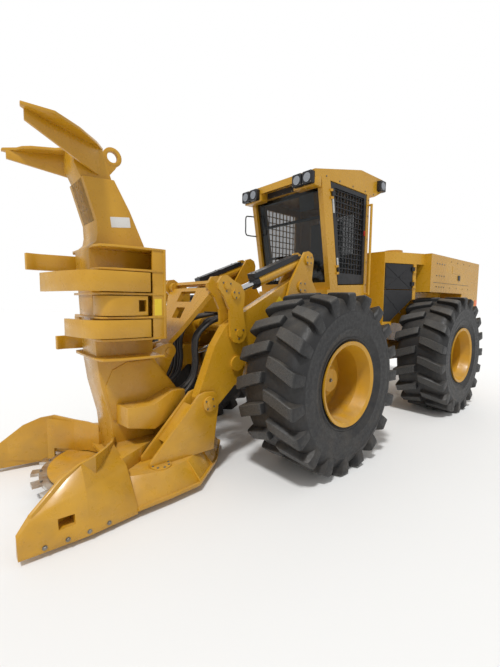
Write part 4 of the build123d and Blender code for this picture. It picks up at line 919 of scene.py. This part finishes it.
# Each arm: body, side, bands, bottom and top of its tube, window
ARMS = [("clamp_arm", 1, CLAMP_BANDS, 1.3905, 1.9695, WINDOW),
        ("grab_arm", -1, GRAB_BANDS, 1.2205, 2.1595, None)]


def rolled(points):
    """A line whose corners are rolled into smooth bends."""
    line = [Vector((x, y, 0)) for x, y in points]
    smooth = [line[0]]
    for before, corner, after in zip(line, line[1:], line[2:]):
        start = corner + (before - corner) * BEND_SHARE
        end = corner + (after - corner) * BEND_SHARE
        for step in range(9):
            t = step / 8
            smooth.append(start * (1 - t) ** 2 + corner * 2 * t * (1 - t) + end * t ** 2)
    smooth.append(line[-1])
    return smooth


def band(mesh, points, s, low, high):
    """A rolled band of even thickness between two heights."""
    outer = rolled(points)
    inner = []
    for index, point in enumerate(outer):
        way = (outer[min(index + 1, len(outer) - 1)] - outer[max(index - 1, 0)]).normalized()
        inner.append(point + Vector((way.y, -way.x, 0)) * BAND_THICK)
    outer_low, inner_low, outer_high, inner_high = (
        [mesh.verts.new((AXLE_X + point.x, s * point.y, z)) for point in row]
        for z in (low, high) for row in (outer, inner))
    for k in range(len(outer) - 1):
        mesh.faces.new((outer_low[k], outer_low[k + 1], outer_high[k + 1], outer_high[k]))
        mesh.faces.new((inner_low[k], inner_high[k], inner_high[k + 1], inner_low[k + 1]))
        mesh.faces.new((outer_high[k], outer_high[k + 1], inner_high[k + 1], inner_high[k]))
        mesh.faces.new((outer_low[k], inner_low[k], inner_low[k + 1], outer_low[k + 1]))
    mesh.faces.new((outer_low[0], outer_high[0], inner_high[0], inner_low[0]))
    mesh.faces.new((outer_low[-1], inner_low[-1], inner_high[-1], outer_high[-1]))


for body, s, bands, low, high, window in ARMS:
    shape = bmesh.new()
    for points, bottom, top in bands:
        band(shape, points, s, bottom, top)
    arm = place_piece(shape, body + "_bands", head_paint, body)
    settle(arm, 0.005, block(bmesh.new(), *window) if window else None)
    shape = rod(bmesh.new(), (AXLE_X + ARM_PLACE, s * ARM_ACROSS, low), UP, ARM_TUBE_R, high - low, 40)
    for points, bottom, top in bands:
        block(shape, LUG_PLATE, (s * ARM_ACROSS, s * LUG_PLATE_OUT),
              (bottom + LUG_PLATE_GAP, top - LUG_PLATE_GAP))
    place_piece(shape, body + "_tube", head_paint, body)
    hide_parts(body)

# Saw: a forged disc with hooked teeth, each held by one bolt; bare steel round the rim, browned by sap
# further in. It turns on the deck's middle.
SAW_TOP = 0.144
TOOTH_RING = 0.64
TEETH = 18
TOOTH_BOLT = 0.01
saw_steel = finish("saw_steel", (0.66, 0.64, 0.6), (0.46, 0.36, 0.27), 0.3, metal=0.9, patch=9.0,
                   grain=220.0, bump=0.12, dust=0.1, mud=0.2, chips=0.5)
dress(saw_steel, "saw_disc")
bolts = bmesh.new()
bolt_ring(bolts, (AXLE_X + SAW_X, 0, SAW_TOP), UP, TOOTH_RING, TEETH, TOOTH_BOLT)
place_piece(bolts, "tooth_bolts", bolt_steel, "saw_disc")

# Cab shell: folded and welded sheet with a pressed roof, painted; small screws hold its trims. The seat
# inside is covered with woven fabric.
SHELL_FACE = 0.64
# Screws in rows, along the roof and down the rear post: places ahead of the axle, heights, size
SHELL_SCREWS = [((-0.62, -0.9, -1.2, -1.5, -1.72), (3.262,), 0.0085),
                ((-1.592,), (1.98, 2.3, 2.62, 2.94, 3.16), 0.0075)]


def screw_rows(name, body, face, rows):
    """A piece of screws on both sides, in rows."""
    screws = bmesh.new()
    for s in (1, -1):
        for along, heights, size in rows:
            for x in along:
                for z in heights:
                    bolt(screws, (AXLE_X + x, s * face, z), (0, s, 0), size)
    place_piece(screws, name, bolt_steel, body)


dress(yellow, "cab_floor", "cab_posts", "cab_roof", "cab_rear_wall", "cab_handrail", "cab_right_wall")
dress(charcoal, "cab_front_guard", "cab_door", "cab_lamps")
seat_fabric = finish("seat_fabric", (0.02, 0.02, 0.022), (0.032, 0.032, 0.034), 0.85, grain=900.0, bump=0.5,
                     dust=0.05)
dress(seat_fabric, "cab_seat")
screw_rows("cab_screws", "front_frame", SHELL_FACE, SHELL_SCREWS)

# Work lamps: black cast housings with a clear domed lens, four screws at the corners. They stand in pairs
# before the roof's folded visor boxes, and one looks out from each rear corner of the roof.
LAMP_SIZE = 0.148
LAMP_DEPTH = 0.062
LAMP_SCREW_PLACE = 0.061
LAMP_SCREW = 0.0055
LENS = [(0.053, -0.004), (0.053, 0.001), (0.042, 0.004), (0.028, 0.006), (0.012, 0.0068)]
# Each lamp: place of its back, way it faces
LAMP_PLACES = [((AXLE_X - 0.401, y, 3.205), AHEAD) for y in (0.4, 0.563, -0.4, -0.563)]
LAMP_PLACES += [((AXLE_X - 1.88, s * 0.639, 3.4), (0, s, 0)) for s in (1, -1)]
VISOR_BOX = [(-0.4005, 3.205), (-0.4005, 3.115), (-0.525, 3.115), (-0.525, 3.245), (-0.45, 3.245)]
VISOR_BOX_FACES = (0.3, 0.6395)
lamp_glass = finish("lamp_glass", (0.42, 0.44, 0.47), (0.36, 0.38, 0.41), 0.1, metal=0.8, grain=90.0,
                    bump=0.05, dust=0.05, rough_spread=0.05)
housings = bmesh.new()
lenses = bmesh.new()
screws = bmesh.new()
for place, way in LAMP_PLACES:
    way = Vector(way)
    across = Vector(UP).cross(way)
    slab(housings, place, across, UP, LAMP_SIZE, LAMP_SIZE, LAMP_DEPTH, 0.012)
    face = Vector(place) + way * LAMP_DEPTH
    spin(lenses, face, way, LENS, 32)
    for u in (LAMP_SCREW_PLACE, -LAMP_SCREW_PLACE):
        for v in (LAMP_SCREW_PLACE, -LAMP_SCREW_PLACE):
            bolt(screws, face + across * u + Vector((0, 0, v)), way, LAMP_SCREW)
housing_piece = place_piece(housings, "lamp_housings", charcoal, "front_frame")
settle(housing_piece, 0.004)
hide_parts("cab_lamps")
place_piece(lenses, "lamp_lenses", lamp_glass, "front_frame")
place_piece(screws, "lamp_screws", bolt_steel, "front_frame")
visor_boxes = bmesh.new()
for s in (1, -1):
    upright(visor_boxes, VISOR_BOX, *(s * y for y in VISOR_BOX_FACES))
settle(place_piece(visor_boxes, "visor_boxes", yellow, "front_frame"), 0.004)

# Visor: a vented steel sheet, painted black and screwed into the open front of the roof between
# the lamps.
VISOR_PLACE = (AXLE_X - 0.5235, 0, 3.195)
VISOR_SIZE = (0.592, 0.078, 0.002)
VISOR_SCREWS = [(AXLE_X - 0.521, y, 3.17) for y in (-0.27, -0.16, 0.0, 0.16, 0.27)]
visor = bmesh.new()
slab(visor, VISOR_PLACE, LEFT, UP, *VISOR_SIZE, 0.004)
screws = bmesh.new()
for place in VISOR_SCREWS:
    bolt(screws, place, AHEAD, 0.0065)
place_piece(visor, "visor_sheet", charcoal, "front_frame")
place_piece(screws, "visor_screws", bolt_steel, "front_frame")

# Cab glass: flat tinted safety panes, set behind the bars of the guards and in the door, clean enough to
# let the seat and the far posts show through.
GLASS_ALPHA = 0.5
glass = finish("window_glass", (0.01, 0.013, 0.014), (0.014, 0.017, 0.018), 0.04, dust=0.02, grain=40.0,
               bump=0.0, rough_spread=0.03)
glass.node_tree.nodes["Principled BSDF"].inputs["Alpha"].default_value = GLASS_ALPHA
glass.surface_render_method = "BLENDED"
dress(glass, "cab_windows", "door_glass")

# Door furniture: two zinc-plated hinge leaves, bolted to the door's front stile, which leans with the cab's
# front, and a red release latch of moulded plastic at its rear edge.
DOOR_FACE = 0.6352
RELEASE = (AXLE_X - 1.52, DOOR_FACE, 2.69)
RELEASE_SIZE = (0.07, 0.022, 0.014)
LEAF_HEIGHTS = (2.2, 2.95)
LEAF_SIZE = (0.2, 0.032, 0.007)
LEAF_BOLTS = (-0.075, -0.025, 0.025, 0.075)
LEAF_BOLT = 0.006
# The leaves' middle line: ahead of the axle at a height, lean forward per metre up, direction
LEAF_X = -0.956
LEAF_Z = 1.96
STILE_LEAN = 0.1786
STILE_WAY = (0.176, 0.984)
red_plastic = finish("red_plastic", (0.45, 0.02, 0.015), (0.38, 0.02, 0.015), 0.4, dust=0.1)
latch = bmesh.new()
slab(latch, RELEASE, UP, AHEAD, *RELEASE_SIZE, 0.005)
place_piece(latch, "door_release", red_plastic, "cab_door")
zinc = finish("zinc_plate", (0.62, 0.62, 0.6), (0.54, 0.54, 0.52), 0.36, metal=0.25, dust=0.05)
leaves = bmesh.new()
forward, rise = STILE_WAY
for z in LEAF_HEIGHTS:
    x = AXLE_X + LEAF_X + STILE_LEAN * (z - LEAF_Z)
    slab(leaves, (x, DOOR_FACE, z), (forward, 0, rise), (rise, 0, -forward), *LEAF_SIZE, 0.004)
    for step in LEAF_BOLTS:
        bolt(leaves, (x + forward * step, DOOR_FACE + LEAF_SIZE[2], z + rise * step), LEFT, LEAF_BOLT)
place_piece(leaves, "door_hinge_leaf", zinc, "cab_door")

# Steps: a ladder under the cab door, folded from steel sheet, welded, painted and hung from the
# cab's skirt.
HANGER = ((-1.5, -0.78), (0.606, 0.636), (1.66, 1.785))
STRINGERS = (-1.06, -1.35)
STRINGER_THICK = 0.02
STRINGER = ((0.61, 0.7), (1.21, 1.72))
TREADS = (1.23, 1.43, 1.63)
TREAD_THICK = 0.025
TREAD = ((-1.345, -1.045), (0.612, 0.7))
ladder = block(bmesh.new(), *HANGER)
for x in STRINGERS:
    block(ladder, (x, x + STRINGER_THICK), *STRINGER)
for z in TREADS:
    block(ladder, *TREAD, (z, z + TREAD_THICK))
settle(place_piece(ladder, "cab_ladder", yellow, "front_frame"), 0.003)

# Blank plates and labels: thin plates and films where the machine carries signs, left without words. They
# are glued on, a grey notice inside the windshield too, and a black wire loop stands at the right post.
# As the arm's label: place, climb, length, height, thickness, corner
HEAD_SIGNS = [(1.77, 0.2001, 2.413, 0.12, 0.175, 0.09, LABEL_THICK, 0.004),
              (1.79, 0.2121, 0.64, 0.0, 0.11, 0.032, LABEL_THICK, 0.003)]
COLUMN_LABEL = (1.54, 0.4451, 1.66, 0.0, 0.07, 0.15, LABEL_THICK, 0.004)
NOTICE_PLACE = (AXLE_X - 0.6225, 0.33, 3.01)
NOTICE_UP = (0.165, 0, 0.986)
NOTICE_SIZE = (0.24, 0.2, 0.0008)
# The loop's line: ahead of the axle, across, height
LOOP_LINE = [(-0.61, -0.632, 2.985), (-0.5, -0.655, 2.982), (-0.438, -0.66, 2.962), (-0.432, -0.66, 2.84),
             (-0.438, -0.66, 2.722), (-0.5, -0.655, 2.702), (-0.66, -0.632, 2.705)]
LOOP_R = 0.009
label_white = finish("label_white", (0.72, 0.72, 0.7), (0.62, 0.62, 0.6), 0.3, dust=0.12, chips=0.05,
                     grain=60.0, bump=0.01)
side_plates("blank_head_signs", label_white, "head", HEAD_SIGNS)
side_plates("blank_column_labels", label_yellow, "head", [COLUMN_LABEL])
notice_grey = finish("notice_grey", (0.3, 0.31, 0.32), (0.26, 0.27, 0.28), 0.5, dust=0.0, grain=60.0,
                     bump=0.01)
notice = bmesh.new()
slab(notice, NOTICE_PLACE, LEFT, NOTICE_UP, *NOTICE_SIZE, 0.002)
place_piece(notice, "window_notice", notice_grey, "front_frame")
loop = bmesh.new()
hose(loop, [(AXLE_X + x, y, z) for x, y, z in LOOP_LINE], LOOP_R)
place_piece(loop, "post_loop", charcoal, "front_frame")

# Enclosures: folded sheet panels and doors over the engine, painted yellow, with dark screens and doors
# that keep chaff out. Screws and latches run along the seams, and a reflector is fixed at each tail corner.
HOOD_FACE = 1.06
HOOD_SCREWS = [((-3.02, -3.12, -3.22, -3.32), (1.99, 2.17, 2.36), 0.0095), ((-3.6, -3.9, -4.2, -4.5),
               (1.985, 2.43), 0.0075)]
dress(yellow, "mid_enclosure", "rear_enclosure", "hood_top")
dress(charcoal, "engine_door_left", "engine_door_right", "side_screens", "tail_grille")
reflector_orange = finish("reflector_orange", (0.85, 0.16, 0.01), (0.78, 0.14, 0.01), 0.2, dust=0.08,
                          grain=700.0, bump=0.25)
# Each thin part on the hood's sides: name, finish, ahead of the axle, height, and its sizes
HOOD_PARTS = [("blank_side_plates", yellow, -3.925, 2.305, (0.5, 0.125, 0.003, 0.01)),
              ("panel_seams", charcoal, -3.71, 2.055, (1.62, 0.006, 0.0012, 0.001)),
              ("side_reflectors", reflector_orange, -4.98, 1.68, (0.13, 0.22, 0.004, 0.008)),
              ("hood_latches", charcoal, -3.995, 2.173, (0.09, 0.09, 0.012, 0.01))]
screw_rows("hood_screws", "rear_frame", HOOD_FACE, HOOD_SCREWS)
for name, material, x, z, size in HOOD_PARTS:
    side_plates(name, material, "rear_frame", [(x, HOOD_FACE, z, 0.0, *size)])

# Door ribs: strips pressed out of the dark engine doors and side screens, a cross above and a slope below.
# They stiffen the sheet and share its paint.
# Each rib: ahead of the axle and height at one end and at the other
DOOR_RIBS = [(-2.13, 2.29, -2.57, 1.95), (-2.57, 2.29, -2.13, 1.95), (-2.13, 2.12, -2.58, 2.12)]
SCREEN_RIBS = [(-2.13, 1.85, -2.4, 1.56), (-2.13, 1.7, -2.3, 1.7)]
RIB_SIZE = (0.018, 0.005)
# The slanted panel: its start along and across, its run along and out, and the ribs' sink into it
PANEL_X = -2.08
PANEL_HALF = 0.66
PANEL_RUN = 0.71
PANEL_OUT = 0.29
PANEL_SINK = 0.0052


def door_place(s, x, z):
    """A point on the slanted dark panel of a side."""
    half = PANEL_HALF + (PANEL_X - x) / PANEL_RUN * PANEL_OUT
    return Vector((AXLE_X + x, s * (half - PANEL_SINK), z))


for s, side_name in ((1, "left"), (-1, "right")):
    out = Vector((PANEL_OUT, s * PANEL_RUN, 0)).normalized()
    for name, body, ribs in (("door_ribs_", "engine_door_" + side_name, DOOR_RIBS),
                             ("screen_ribs_", "rear_frame", SCREEN_RIBS)):
        strips = bmesh.new()
        for x0, z0, x1, z1 in ribs:
            start = door_place(s, x0, z0)
            end = door_place(s, x1, z1)
            way = (end - start).normalized()
            slab(strips, (start + end) / 2, way, out.cross(way), (end - start).length, *RIB_SIZE, 0.002)
        place_piece(strips, name + side_name, charcoal, body)
